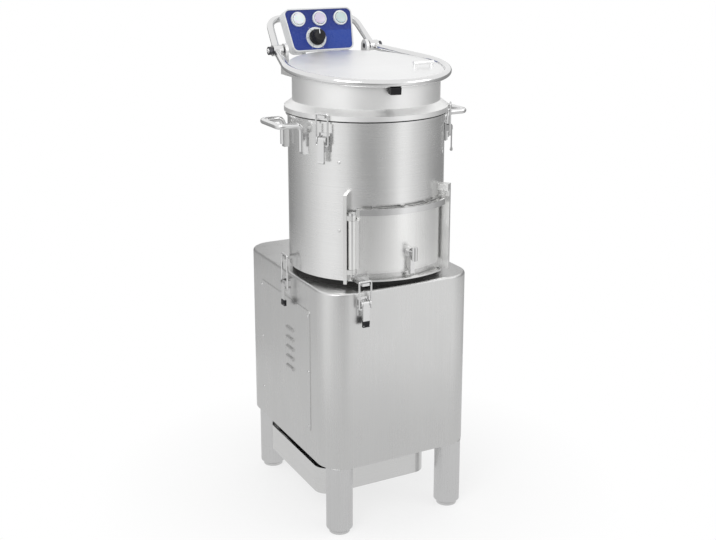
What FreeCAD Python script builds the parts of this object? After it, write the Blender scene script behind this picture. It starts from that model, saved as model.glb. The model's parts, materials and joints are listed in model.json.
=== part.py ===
"""Electric potato peeler on a filter stand.

A stainless drum with a turning abrasive disc stands on a cabinet that holds the motor and belt.
Peel and water fall through a pipe into a filter drawer under the cabinet. A cast hood with a
hinged lid and a tilted control box closes the drum. Row frame: +X to the right seen from the
front, +Y to the back, +Z up, origin on the floor under the middle of the outer box.
Pieces are drawn about the drum's axis, and node() moves them back by AXIS_Y.
"""
import FreeCAD, Part
import math
import os
from types import SimpleNamespace

import Sketcher
from FreeCAD import Placement, Rotation, Vector

# Driving dimensions, in millimetres and degrees
SIZES = {
    # drum
    "drum_radius": 165, "drum_wall": 2, "drum_tall": 325, "rim_wide": 4,
    "rim_thick": 4, "floor_thick": 4, "ring_in": 7, "ring_wide": 38, "ring_high": 13,
    "liner_gap": 0.3, "liner_thick": 5, "liner_up": 12, "liner_drop": 5,
    # cabinet
    "cabinet_side": 7.4, "cabinet_nose": 0.5, "cabinet_back": 262.5,
    "cabinet_low": 153, "cabinet_high": 535, "cabinet_corner": 55, "cabinet_edge": 5,
    "cabinet_wall": 2, "base_thick": 3, "base_open_x": 95, "base_open_front": 90,
    "base_open_back": 172,
    # side cover with louvres
    "cover_front": 79, "cover_back": 175, "cover_low": 211, "cover_down": 57,
    "cover_thick": 1.2, "cover_corner": 8, "cover_lap": 12,
    "louvre_y": 19, "louvre_long": 32, "louvre_rise": 4, "louvre_low": 322, "louvre_pitch": 22,
    "louvre_count": 5, "louvre_slot": 3,
    # legs and feet
    "leg_x": 133, "leg_front": 133, "leg_back": 219, "leg_radius": 28.2, "leg_wall": 2,
    "plug_thick": 12, "foot_high": 52, "foot_pad": 22, "pad_high": 5, "foot_taper": 6,
    "stem_radius": 6, "stem_gap": 0.05,
    # filter drawer
    "drawer_left": 160, "drawer_right": 102, "drawer_front": 98, "drawer_back": 182,
    "drawer_low": 68, "drawer_high": 127, "drawer_wall": 1.5, "drawer_corner": 30,
    "lip_wide": 6, "lip_thick": 2, "lip_inset": 32, "outlet_radius": 25, "outlet_y": 60,
    "basket_gap": 3, "basket_wall": 1.2, "basket_hole": 4, "basket_pitch": 30,
    "rail_half": 100, "rail_thick": 2, "rail_gap": 0.3,
    # abrasive disc and drive
    "disc_gap": 7.7, "disc_up": 24, "disc_thick": 12, "wave_radius": 9, "wave_from": 30,
    "wave_rim": 8, "wave_count": 6, "hub_radius": 28, "hub_high": 30, "shaft_radius": 12.5,
    "shaft_low": 340, "shaft_cap": 20, "cap_high": 10, "run_gap": 0.05,
    "housing_radius": 36, "housing_low": 400, "housing_flange": 60, "flange_thick": 4,
    "bearing_radius": 24, "bearing_high": 15, "bearing_low": 405, "bearing_drop": 48,
    "seal_high": 8, "seal_drop": 14,
    "belt_low": 350, "belt_gap": 0.3, "belt_thick": 6, "belt_wide": 11, "groove_wide": 12,
    "pulley_flange": 5, "pulley_lip": 9, "big_pulley": 66, "small_pulley": 22,
    "motor_y": 165, "motor_radius": 62, "motor_low": 180, "motor_high": 330, "motor_shaft": 7,
    "fin_rise": 4, "fin_thick": 3, "fin_pitch": 14, "fin_count": 8, "terminal_wide": 70,
    "terminal_high": 60, "terminal_deep": 30,
    "plate_half": 110, "plate_front": 90, "plate_thick": 5, "plate_skirt": 40, "tie_radius": 6,
    "tie_x": 95, "tie_y": 110,
    "waste_y": 122, "waste_radius": 26, "waste_wall": 2, "waste_bend": 30, "waste_top": 320,
    "waste_turn": 220, "waste_in": 56, "waste_low": 140, "waste_gap": 1,
    # discharge door
    "door_half": 34, "door_up": 18, "door_tall": 134, "opening_half": 30,
    "sill": 8, "lintel": 10, "gasket_gap": 0.3, "gasket_thick": 2, "glue_line": 0.1,
    "door_thick": 2.5, "bar_drop": 10, "bar_high": 12, "bar_off": 9, "bar_thick": 5,
    "bar_half": 35, "bar_trim": 3, "bar_stud_turn": 22, "hinge_turn": 37, "hinge_out": 14,
    "hinge_radius": 8, "pin_radius": 5, "lug_high": 10, "lug_up": 2, "lug_drop": 20,
    "lug_gap": 0.5, "post_out": 24, "post_thick": 7, "post_off": 9, "post_up": 0.5,
    "post_rise": 32, "keep_turn": 38, "keep_cap": 14,
    "latch_turn": 3, "latch_up": 40, "latch_hub": 11, "latch_out": 12, "latch_deep": 8,
    "latch_half": 5, "latch_drop": 4, "latch_stand": 32, "grip_radius": 6, "grip_long": 28,
    "lip_half": 26, "lip_out": 24, "lip_high": 3, "lip_drop": 10, "keeper_half": 8,
    "keeper_thick": 3, "keeper_gap": 1,
    # hood
    "hood_gasket": 3, "flange_out": 7, "hood_flange_high": 10, "hood_in": 10,
    "hood_wall": 6, "hood_slope": 12, "lid_rise": 92, "lid_tilt": 5, "rim_drop": 9,
    "shelf_half": 70, "shelf_in": 25, "shelf_back": 41, "shelf_down": 35, "shelf_thick": 25,
    "ear_in": 96, "ear_thick": 7, "ear_root": 47, "ear_radius": 14,
    "inlet_turn": 150, "inlet_up": 42, "inlet_radius": 10.5, "inlet_bore": 8,
    "inlet_stand": 30, "inlet_collar": 15, "inlet_collar_long": 8,
    # lid and its tube frame
    "tube_radius": 8, "frame_out": 5, "lid_gap": 0.3, "lid_thick": 2.5, "seal_wide": 6,
    "grip_x": 105, "grip_y": 55, "grip_half": 20, "grip_rise": 12, "grip_wire": 4,
    "magnet_turn": 8.5, "magnet_half": 11, "magnet_high": 14, "magnet_deep": 15,
    "hinge_back": 26, "hinge_up": 19, "arm_x": 118, "hoop_x": 105, "hoop_up": 80,
    "hoop_back": 82, "hoop_bend": 32, "arm_bend": 40, "sleeve_radius": 12, "sleeve_half": 11,
    "pivot_radius": 6, "pivot_end": 138, "pivot_head": 9, "pivot_head_long": 6,
    # control box
    "box_back_off": 8, "box_up": 15, "box_tilt": 21.6, "face_high": 92, "face_low_half": 71,
    "face_top_half": 82, "bezel": 3, "box_deep": 26, "box_corner": 14, "face_corner": 11,
    "panel_thick": 2.5, "panel_gap": 0.3, "box_back": 3, "bezel_proud": 1,
    "button_step": 52, "button_z": 70, "button_radius": 13, "button_high": 5,
    "button_back": 4, "stem_small": 6, "stem_reach": 13, "hole_gap": 0.5,
    "collar_radius": 16.5, "collar_high": 5, "collar_gap": 0.5,
    "knob_x": 15, "knob_z": 27, "knob_radius": 18, "knob_top": 15, "knob_high": 20,
    "knob_off": 3, "dial_radius": 24, "dial_thick": 2, "knob_stem": 3,
    "pedestal_half": 45, "pedestal_deep": 20, "switch_thick": 5, "switch_half": 11,
    # services
    "gland_y": 200, "gland_z": 200, "gland_radius": 11, "gland_bore": 5, "gland_out": 20,
    "conduit_x": 40, "conduit_back": 21, "conduit_radius": 9, "conduit_bore": 7,
    # carrying handles
    "handle_out": 60, "handle_drop": 12, "handle_half": 45, "handle_wire": 6,
    "handle_bend": 12, "handle_plate_drop": 28, "handle_plate_long": 43,
    # toggle clamps
    "clamp_plate": 4, "clamp_plate_half": 14, "clamp_plate_up": 12, "clamp_plate_down": 26,
    "clamp_pivot": 11, "clamp_pin": 2.5, "clamp_eye": 6, "clamp_cheek_in": 8,
    "clamp_cheek": 3, "clamp_gap": 0.05, "lever_half": 7, "lever_long": 46,
    "lever_off": 2, "lever_thick": 3, "throw": 12, "wire": 2, "loop_half": 13.4,
    "loop_bend": 3,
    "seat_gap": 0.3, "ledge_half": 8, "ledge_out": 14, "ledge_high": 6,
    "hood_clamp_turn": 57.7, "hood_clamp_drop": 35, "hood_clamp_reach": 51,
    "side_clamp_y": 20, "side_clamp_drop": 21, "side_clamp_reach": 62,
    "front_clamp_x": 95, "front_clamp_reach": 45,
}


class Size:
    """A number that remembers the spreadsheet expression it comes from."""

    def __init__(self, value, text):
        self.value = float(value)
        self.text = text

    def __add__(self, other):
        other = as_size(other)
        return Size(self.value + other.value, f"({self.text} + {other.text})")

    def __sub__(self, other):
        other = as_size(other)
        return Size(self.value - other.value, f"({self.text} - {other.text})")

    def __mul__(self, other):
        other = as_size(other)
        return Size(self.value * other.value, f"({self.text} * {other.text})")

    def __truediv__(self, other):
        other = as_size(other)
        return Size(self.value / other.value, f"({self.text} / {other.text})")

    def __radd__(self, other):
        return as_size(other) + self

    def __rsub__(self, other):
        return as_size(other) - self

    def __rmul__(self, other):
        return as_size(other) * self

    def __neg__(self):
        return Size(-self.value, f"(0 - {self.text})")

    def __float__(self):
        return self.value


def as_size(amount):
    if isinstance(amount, Size):
        return amount
    return Size(amount, f"({float(amount)})")


doc = FreeCAD.newDocument("potato_peeler")
sheet = doc.addObject("Spreadsheet::Sheet", "sizes")
for row, (alias, value) in enumerate(SIZES.items(), start=1):
    sheet.set(f"A{row}", alias)
    sheet.set(f"B{row}", str(value))
    sheet.setAlias(f"B{row}", alias)
doc.recompute()

S = SimpleNamespace(**{name: Size(value, f"sizes.{name}") for name, value in SIZES.items()})

# Places that follow another piece, from the cabinet upward
S.cabinet_half = S.drum_radius + S.cabinet_side
S.cabinet_front = S.drum_radius + S.cabinet_nose
S.cover_high = S.cabinet_high - S.cover_down
S.side_clamp_z = S.cabinet_high - S.side_clamp_drop
S.drum_low = S.cabinet_high + S.ring_high
S.drum_high = S.drum_low + S.drum_tall
S.ring_outer = S.drum_radius - S.ring_in
S.ring_inner = S.ring_outer - S.ring_wide
S.liner_low = S.drum_low + S.liner_up
S.liner_outer = S.drum_radius - S.drum_wall - S.liner_gap
S.disc_low = S.drum_low + S.disc_up
S.disc_radius = S.liner_outer - S.liner_thick - S.disc_gap
S.wave_to = S.disc_radius - S.wave_rim
S.bearing_top = S.drum_low - S.bearing_drop
S.seal_low = S.drum_low - S.seal_drop
S.door_low = S.drum_low + S.door_up
S.door_high = S.door_low + S.door_tall
S.opening_low = S.door_low + S.sill
S.opening_high = S.door_high - S.lintel
S.bar_low = S.door_high - S.bar_drop
S.lug_low = S.door_low + S.lug_up
S.lug_top = S.door_high - S.lug_drop
S.post_low = S.drum_low + S.post_up
S.post_high = S.door_high + S.post_rise
S.latch_height = S.door_low + S.latch_up
S.latch_tip = S.door_low - S.latch_drop
S.latch_reach = S.drum_radius + S.latch_stand
S.lip_low = S.door_low - S.lip_drop
S.handle_reach = S.drum_radius + S.handle_out
S.handle_z = S.drum_high - S.handle_drop
S.handle_plate_high = S.drum_high - S.handle_plate_drop
S.handle_plate_low = S.handle_plate_high - S.handle_plate_long
S.hood_clamp_z = S.drum_high - S.hood_clamp_drop
S.hood_flange = S.drum_radius + S.flange_out
S.hood_radius = S.drum_radius - S.hood_in
S.lid_height = S.drum_high + S.lid_rise
S.frame_ring = S.drum_radius + S.frame_out
S.hinge_y = S.drum_radius + S.hinge_back
S.hinge_z = S.lid_height + S.hinge_up
S.shelf_low = S.lid_height - S.shelf_down
S.shelf_from = S.hood_radius - S.shelf_in
S.shelf_to = S.hinge_y + S.shelf_back
S.ear_from = S.hood_radius - S.ear_root
S.inlet_height = S.drum_high + S.inlet_up
S.inlet_out = S.drum_radius + S.inlet_stand
S.hoop_reach = S.hinge_y + S.hoop_back
S.hoop_z = S.lid_height + S.hoop_up
S.box_y = S.hinge_y + S.box_back_off
S.box_z = S.lid_height + S.box_up
S.conduit_y = S.hinge_y + S.conduit_back
AXIS_Y = (S.latch_reach - S.hoop_reach) / 2
X_AXIS = Vector(1, 0, 0)
Y_AXIS = Vector(0, 1, 0)
Z_AXIS = Vector(0, 0, 1)
WAYS = {"X": Rotation(Y_AXIS, 90), "Y": Rotation(X_AXIS, -90), "Z": Rotation()}
PRIMITIVES = ("Part::Box", "Part::Cylinder", "Part::Cone", "Part::Torus")
SKIN = 1.0
SPAN = 400.0
NODES = []


# Helpers: bound properties, placed primitives, booleans and bodies

def bind(obj, prop, amount):
    amount = as_size(amount)
    setattr(obj, prop, amount.value)
    if "sizes." in amount.text:
        obj.setExpression(prop, amount.text)


def place(obj, at, rotation):
    obj.Placement = Placement(Vector(*[float(value) for value in at]), rotation)
    for letter, amount in zip("xyz", at):
        if isinstance(amount, Size):
            obj.setExpression(f"Placement.Base.{letter}", amount.text)
    return obj


def block(low, size):
    obj = doc.addObject("Part::Box", "block")
    for prop, amount in zip(("Length", "Width", "Height"), size):
        bind(obj, prop, amount)
    return place(obj, low, Rotation())


def rod(radius, length, at=(0, 0, 0), way="Z"):
    obj = doc.addObject("Part::Cylinder", "rod")
    bind(obj, "Radius", radius)
    bind(obj, "Height", length)
    return place(obj, at, WAYS[way])


def cone(first, second, length, at=(0, 0, 0), way="Z"):
    obj = doc.addObject("Part::Cone", "cone")
    bind(obj, "Radius1", first)
    bind(obj, "Radius2", second)
    bind(obj, "Height", length)
    return place(obj, at, WAYS[way])


def sector(radius, length, start, end, height):
    """A pie slice of a cylinder between two angles, counted from the front towards +X."""
    obj = doc.addObject("Part::Cylinder", "sector")
    bind(obj, "Radius", radius)
    bind(obj, "Height", length)
    bind(obj, "Angle", as_size(end) - start)
    return place(obj, (0, 0, height), Rotation(Z_AXIS, float(start) - 90))


def join(*parts):
    obj = doc.addObject("Part::MultiFuse", "join")
    obj.Shapes = list(parts)
    return obj


def less(base, *tools):
    obj = doc.addObject("Part::Cut", "less")
    obj.Base = base
    obj.Tool = tools[0] if len(tools) == 1 else join(*tools)
    return obj


def group(*parts):
    obj = doc.addObject("Part::Compound", "group")
    obj.Links = list(parts)
    return obj


def ring(outer, inner, length, at=(0, 0, 0), way="Z"):
    return less(rod(outer, length, at, way), rod(inner, length, at, way))


def curved(inner, outer, length, start, end, height):
    """A curved plate: the part of a pie slice outside a smaller cylinder."""
    return less(sector(outer, length, start, end, height), rod(inner, length, (0, 0, height)))


def solid(name, shape):
    obj = doc.addObject("Part::Feature", name)
    obj.Shape = shape
    return obj


def moved(obj, at=(0, 0, 0), axis=Z_AXIS, turn=0):
    """Turns and moves a piece about its own origin, keeping where its primitive stands."""
    if obj.TypeId in PRIMITIVES:
        obj = group(obj)
    return place(obj, at, Rotation(axis, float(turn)))


def facing(obj, turn, at=(0, 0, 0)):
    """Turns a piece drawn on +X so that it looks out at an angle from the front."""
    return moved(obj, at, Z_AXIS, float(turn) - 90)


def node(obj, name):
    """Names a sub-part and moves it from the drum's axis to the row frame."""
    base = obj.Placement.Base
    bound = {path: text for path, text in obj.ExpressionEngine}
    own = bound.get("Placement.Base.y", bound.get(".Placement.Base.y", str(base.y)))
    obj.Placement = Placement(Vector(base.x, base.y + float(AXIS_Y), base.z), obj.Placement.Rotation)
    obj.setExpression("Placement.Base.y", f"({own}) + {AXIS_Y.text}")
    obj.Label = name
    NODES.append(obj)
    return obj


def new_body():
    return doc.addObject("PartDesign::Body", "body")


def plane_of(body, role):
    return next(item for item in body.Origin.OriginFeatures if item.Role == role)


def outline(body, role, corners):
    """A closed sketch whose corners are each tied to the sheet from the origin."""
    sketch = body.newObject("Sketcher::SketchObject", "outline")
    sketch.AttachmentSupport = [(plane_of(body, role), "")]
    sketch.MapMode = "FlatFace"
    points = [Vector(float(u), float(v), 0) for u, v in corners]
    count = len(points)
    for index in range(count):
        sketch.addGeometry(Part.LineSegment(points[index], points[(index + 1) % count]), False)
    for index in range(count):
        sketch.addConstraint(Sketcher.Constraint("Coincident", index, 2, (index + 1) % count, 1))
    for index, corner in enumerate(corners):
        for kind, axis, amount in (("DistanceX", -2, corner[0]), ("DistanceY", -1, corner[1])):
            amount = as_size(amount)
            if amount.value == 0:
                sketch.addConstraint(Sketcher.Constraint("PointOnObject", index, 1, axis))
                continue
            rule = sketch.addConstraint(Sketcher.Constraint(kind, -1, 1, index, 1, amount.value))
            if "sizes." in amount.text:
                sketch.setExpression(f"Constraints[{rule}]", amount.text)
    return sketch


def padded(body, role, corners, length, flip=False):
    pad = body.newObject("PartDesign::Pad", "pad")
    pad.Profile = outline(body, role, corners)
    bind(pad, "Length", length)
    pad.Reversed = flip
    doc.recompute()
    return pad


def rounded(body, feature, radius, chosen):
    fillet = body.newObject("PartDesign::Fillet", "fillet")
    edges = feature.Shape.Edges
    names = [f"Edge{index + 1}" for index, edge in enumerate(edges) if chosen(edge)]
    fillet.Base = (feature, names)
    bind(fillet, "Radius", radius)
    doc.recompute()
    return fillet


def revolved(corners):
    """A body turned about the drum's axis from a profile of radius and height."""
    body = new_body()
    turn = body.newObject("PartDesign::Revolution", "turn")
    turn.Profile = sketch = outline(body, "XZ_Plane", corners)
    turn.ReferenceAxis = (sketch, ["V_Axis"])
    turn.Angle = 360
    doc.recompute()
    return body


def rectangle(left, front, right, back):
    return [(left, front), (right, front), (right, back), (left, back)]


def along(axis):
    """Chooses straight edges that run along an axis."""
    def test(edge):
        if edge.Curve.TypeId != "Part::GeomLine":
            return False
        return abs(edge.Curve.Direction.dot(axis)) > 0.999
    return test


def bent_path(points, bends):
    """Straight runs joined by tangent arcs; an open path, one bend radius per inner point."""
    edges = []
    last = points[0]
    for before, corner, after, bend in zip(points, points[1:], points[2:], bends):
        back = (before - corner).normalize()
        ahead = (after - corner).normalize()
        half = back.getAngle(ahead) / 2
        reach = bend / math.tan(half)
        start = corner + back * reach
        end = corner + ahead * reach
        middle = corner + (back + ahead).normalize() * (bend / math.sin(half) - bend)
        edges.append(Part.LineSegment(last, start).toShape())
        edges.append(Part.Arc(start, middle, end).toShape())
        last = end
    edges.append(Part.LineSegment(last, points[-1]).toShape())
    return Part.Wire(edges)


def swept(path, radius):
    first = path.Edges[0]
    start = first.valueAt(first.FirstParameter)
    heading = first.tangentAt(first.FirstParameter)
    circle = Part.Wire(Part.makeCircle(radius, start, heading))
    return path.makePipeShell([circle], True, False)


# Cabinet: a folded shell, its base plate, the louvred side cover, four legs and four feet

def cabinet_box(inset, low, length):
    body = new_body()
    half = S.cabinet_half - inset
    front = S.cabinet_front - inset
    back = S.cabinet_back - inset
    pad = padded(body, "XY_Plane", rectangle(-half, -front, half, back), length)
    rounded(body, pad, S.cabinet_corner - inset, along(Z_AXIS))
    place(body, (0, 0, low), Rotation())
    return body


def make_cabinet():
    high = S.cabinet_high - S.cabinet_low
    body = cabinet_box(as_size(0), S.cabinet_low, high)
    top = float(high)
    rounded(body, body.Tip, S.cabinet_edge,
            lambda edge: min(vertex.Z for vertex in edge.Vertexes) > top - 0.01)
    room = cabinet_box(S.cabinet_wall, S.cabinet_low - SKIN, high - S.cabinet_wall + SKIN)
    wall = S.cabinet_wall + 2 * SKIN
    window = block((-S.cabinet_half - SKIN, S.cover_lap - S.cover_front, S.cover_low + S.cover_lap),
                   (wall, S.cover_front + S.cover_back - 2 * S.cover_lap,
                    S.cover_high - S.cover_low - 2 * S.cover_lap))
    top_low = S.cabinet_high - S.cabinet_wall - SKIN
    hub = rod(S.housing_flange + SKIN, wall, (0, 0, top_low))
    waste = rod(S.waste_radius + S.waste_gap, wall, (0, -S.waste_y, top_low))
    wires = rod(S.conduit_bore, wall, (S.conduit_x, S.conduit_y, top_low))
    gland = rod(S.gland_bore, wall, (S.cabinet_half - S.cabinet_wall - SKIN, S.gland_y, S.gland_z),
                "X")
    node(less(body, room, window, hub, waste, wires, gland), "cabinet_shell")

    plate = cabinet_box(S.cabinet_wall + S.rail_gap, S.cabinet_low, S.base_thick)
    drop = block((-S.base_open_x, -S.base_open_front, S.cabinet_low - SKIN),
                 (2 * S.base_open_x, S.base_open_front + S.base_open_back,
                  S.base_thick + 2 * SKIN))
    node(less(plate, drop), "base_plate")


def make_side_cover():
    face = -S.cabinet_half - S.cover_thick
    body = new_body()
    corners = [(-S.cover_front, S.cover_low), (S.cover_back, S.cover_low),
               (S.cover_back, S.cover_high), (-S.cover_front, S.cover_high)]
    pad = padded(body, "YZ_Plane", corners, S.cover_thick)
    rounded(body, pad, S.cover_corner, along(X_AXIS))
    place(body, (face, 0, 0), Rotation())
    hoods = []
    slots = []
    for index in range(SIZES["louvre_count"]):
        height = S.louvre_low + index * S.louvre_pitch
        start = S.louvre_y - S.louvre_long / 2
        hoods.append(rod(S.louvre_rise, S.louvre_long, (face, start, height), "Y"))
        slots.append(block((face - S.louvre_rise - SKIN, start + S.louvre_slot,
                            height - S.louvre_rise - SKIN),
                           (S.louvre_rise + S.cover_thick + 2 * SKIN,
                            S.louvre_long - 2 * S.louvre_slot, S.louvre_rise)))
    inner = block((face + S.cover_thick, -S.cover_front, S.cover_low),
                  (S.louvre_rise + SKIN, S.cover_front + S.cover_back,
                   S.cover_high - S.cover_low))
    node(less(join(body, *hoods), inner, *slots), "side_cover")


def make_legs():
    legs = []
    feet = []
    for side in (-1, 1):
        for along_y in (-S.leg_front, S.leg_back):
            spot = side * S.leg_x
            length = S.cabinet_low - S.foot_high
            hollow = rod(S.leg_radius - S.leg_wall, length - 2 * S.plug_thick,
                         (spot, along_y, S.foot_high + S.plug_thick))
            thread = rod(S.stem_radius + S.stem_gap, S.plug_thick + SKIN,
                         (spot, along_y, S.foot_high - SKIN))
            legs.append(less(rod(S.leg_radius, length, (spot, along_y, S.foot_high)),
                             hollow, thread))
            pad = rod(S.foot_pad, S.pad_high, (spot, along_y, 0))
            taper = cone(S.foot_pad, S.leg_radius, S.foot_taper, (spot, along_y, S.pad_high))
            low = S.pad_high + S.foot_taper
            bell = rod(S.leg_radius, S.foot_high - low, (spot, along_y, low))
            stem = rod(S.stem_radius, S.foot_high + S.plug_thick - SKIN - low,
                       (spot, along_y, low))
            feet.append(join(pad, taper, bell, stem))
    node(group(*legs), "legs")
    node(group(*feet), "feet")


# Filter drawer: a tray on two rails with a perforated basket in it

def tray(inset, low, high, wall, corner):
    body = new_body()
    left = -S.drawer_left + inset
    right = S.drawer_right - inset
    front = -S.drawer_front + inset
    back = S.drawer_back - inset
    pad = padded(body, "XY_Plane", rectangle(left, front, right, back), high - low)
    shell = rounded(body, pad, corner, along(Z_AXIS))
    room = body.newObject("PartDesign::Thickness", "thickness")
    top = float(high - low)
    faces = [f"Face{index + 1}" for index, face in enumerate(shell.Shape.Faces)
             if abs(face.CenterOfMass.z - top) < 0.01]
    room.Base = (shell, faces)
    bind(room, "Value", wall)
    room.Reversed = True
    doc.recompute()
    place(body, (0, 0, low), Rotation())
    return body


def whole_steps(start, end, pitch):
    """The whole numbers whose multiples of a pitch lie between two places."""
    return range(math.ceil(float(start / pitch)), math.floor(float(end / pitch)) + 1)


def make_drawer():
    body = tray(as_size(0), S.drawer_low, S.drawer_high, S.drawer_wall, S.drawer_corner)
    long = S.drawer_left + S.drawer_right - 2 * S.lip_inset
    lip_z = S.drawer_high - S.lip_thick
    start = S.lip_inset - S.drawer_left
    front_lip = block((start, -S.drawer_front - S.lip_wide, lip_z),
                      (long, S.lip_wide + S.drawer_wall / 2, S.lip_thick))
    back_lip = block((start, S.drawer_back - S.drawer_wall / 2, lip_z),
                     (long, S.lip_wide + S.drawer_wall / 2, S.lip_thick))
    outlet = rod(S.outlet_radius, S.drawer_wall + 2 * SKIN, (0, S.outlet_y, S.drawer_low - SKIN))
    node(less(join(body, front_lip, back_lip), outlet), "filter_drawer")

    inset = S.drawer_wall + S.basket_gap
    low = S.drawer_low + S.drawer_wall
    basket = tray(inset, low, S.drawer_high - S.basket_gap, S.basket_wall,
                  S.drawer_corner - inset)
    columns = whole_steps(S.drawer_corner - S.drawer_left, S.drawer_right - S.drawer_corner,
                          S.basket_pitch)
    rows = whole_steps(S.drawer_corner - S.drawer_front, S.drawer_back - S.drawer_corner,
                       S.basket_pitch)
    holes = []
    for across in columns:
        for deep in rows:
            holes.append(rod(S.basket_hole, S.basket_wall + 2 * SKIN,
                             (across * S.basket_pitch, deep * S.basket_pitch, low - SKIN)))
    node(less(basket, *holes), "filter_basket")

    rails = []
    foot_z = S.drawer_high - S.lip_thick - S.rail_gap - S.rail_thick
    for side, wall in ((-1, S.drawer_front), (1, S.drawer_back)):
        outer = wall + S.lip_wide + 2 * S.rail_gap
        web_y = side * outer if side > 0 else -outer - S.rail_thick
        foot = side * (wall + 2 * S.rail_gap) if side > 0 else web_y
        web = block((-S.rail_half, web_y, foot_z),
                    (2 * S.rail_half, S.rail_thick, S.cabinet_low - foot_z))
        shelf = block((-S.rail_half, foot, foot_z),
                      (2 * S.rail_half, S.lip_wide + S.rail_thick, S.rail_thick))
        rails.append(join(web, shelf))
    node(group(*rails), "drawer_rails")


# Drum: ring, shell, floor and abrasive lining

def make_drum():
    low = S.cabinet_high
    band = ring(S.ring_outer, S.ring_inner, S.drum_low - low, (0, 0, low))
    way = rod(S.waste_radius + S.waste_gap, SPAN, (0, -S.waste_y, low - SKIN))
    node(less(band, way), "drum_ring")
    tall = S.drum_high - S.drum_low
    wall = less(rod(S.drum_radius, tall, (0, 0, S.drum_low)),
                rod(S.drum_radius - S.drum_wall, tall, (0, 0, S.drum_low)))
    rim = ring(S.drum_radius + S.rim_wide, S.drum_radius - S.drum_wall, S.rim_thick,
               (0, 0, S.drum_high - S.rim_thick))
    mouth = sector(S.drum_radius + SKIN, S.opening_high - S.opening_low,
                   -S.opening_half, S.opening_half, S.opening_low)
    node(less(join(wall, rim), mouth), "drum_shell")

    plate = rod(S.drum_radius - S.drum_wall, S.floor_thick, (0, 0, S.drum_low))
    hub = rod(S.shaft_radius + SKIN, S.floor_thick + 2 * SKIN, (0, 0, S.drum_low - SKIN))
    waste = rod(S.waste_radius - S.waste_wall, S.floor_thick + 2 * SKIN,
                (0, -S.waste_y, S.drum_low - SKIN))
    node(less(plate, hub, waste), "drum_floor")

    outer = S.liner_outer
    long = S.drum_high - S.liner_drop - S.liner_low
    lining = ring(outer, outer - S.liner_thick, long, (0, 0, S.liner_low))
    mouth = sector(S.drum_radius + SKIN, S.opening_high - S.opening_low,
                   -S.opening_half, S.opening_half, S.opening_low)
    node(less(lining, mouth), "abrasive_liner")


# Drive: abrasive disc, shaft, bearings, pulleys, belt and motor

def make_rotor():
    top = S.disc_low + S.disc_thick
    low = S.disc_low - S.floor_thick
    profile = [(S.shaft_radius, low), (S.hub_radius, low), (S.hub_radius, S.disc_low),
               (S.disc_radius, S.disc_low), (S.disc_radius, top), (S.hub_radius, top),
               (S.hub_radius, low + S.hub_high), (S.shaft_radius, low + S.hub_high)]
    waves = []
    for index in range(SIZES["wave_count"]):
        wave = rod(S.wave_radius, S.wave_to - S.wave_from, (S.wave_from, 0, top), "X")
        waves.append(moved(wave, turn=360 * index / SIZES["wave_count"]))
    node(join(revolved(profile), *waves), "abrasive_disc")
    shaft_top = low + S.hub_high
    shaft = rod(S.shaft_radius, shaft_top - S.shaft_low, (0, 0, S.shaft_low))
    cap = cone(S.shaft_cap, S.shaft_radius, S.cap_high, (0, 0, shaft_top))
    node(join(shaft, cap), "drive_shaft")

    tube_top = S.drum_low - S.flange_thick
    tube = rod(S.housing_radius, tube_top - S.housing_low, (0, 0, S.housing_low))
    flange = rod(S.housing_flange, S.flange_thick, (0, 0, tube_top))
    hole = rod(S.bearing_radius, S.drum_low - S.housing_low + 2 * SKIN,
               (0, 0, S.housing_low - SKIN))
    node(less(join(tube, flange), hole), "bearing_housing")
    inner = S.shaft_radius + S.run_gap
    node(group(ring(S.bearing_radius, inner, S.bearing_high, (0, 0, S.bearing_low)),
               ring(S.bearing_radius, inner, S.bearing_high, (0, 0, S.bearing_top))), "bearings")
    node(group(ring(S.bearing_radius, inner, S.seal_high, (0, 0, S.seal_low))), "shaft_seal")


def pulley(core, spot):
    flange = core + S.pulley_lip
    low = S.belt_low
    wide = S.groove_wide + 2 * S.pulley_flange
    top = low + wide - S.pulley_flange
    return join(rod(core, wide, (0, spot, low)), rod(flange, S.pulley_flange, (0, spot, low)),
                rod(flange, S.pulley_flange, (0, spot, top)))


def belt_face(first, second, gap):
    """The area inside a belt that runs round two circles a distance apart along Y."""
    lean = math.asin((first - second) / gap)
    side = math.cos(lean)
    drop = math.sin(lean)
    first_right = Vector(first * side, first * drop, 0)
    second_right = Vector(second * side, gap + second * drop, 0)
    first_left = Vector(-first_right.x, first_right.y, 0)
    second_left = Vector(-second_right.x, second_right.y, 0)
    edges = [Part.LineSegment(first_right, second_right),
             Part.Arc(second_right, Vector(0, gap + second, 0), second_left),
             Part.LineSegment(second_left, first_left),
             Part.Arc(first_left, Vector(0, -first, 0), first_right)]
    return Part.Face(Part.Wire([edge.toShape() for edge in edges]))


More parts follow.
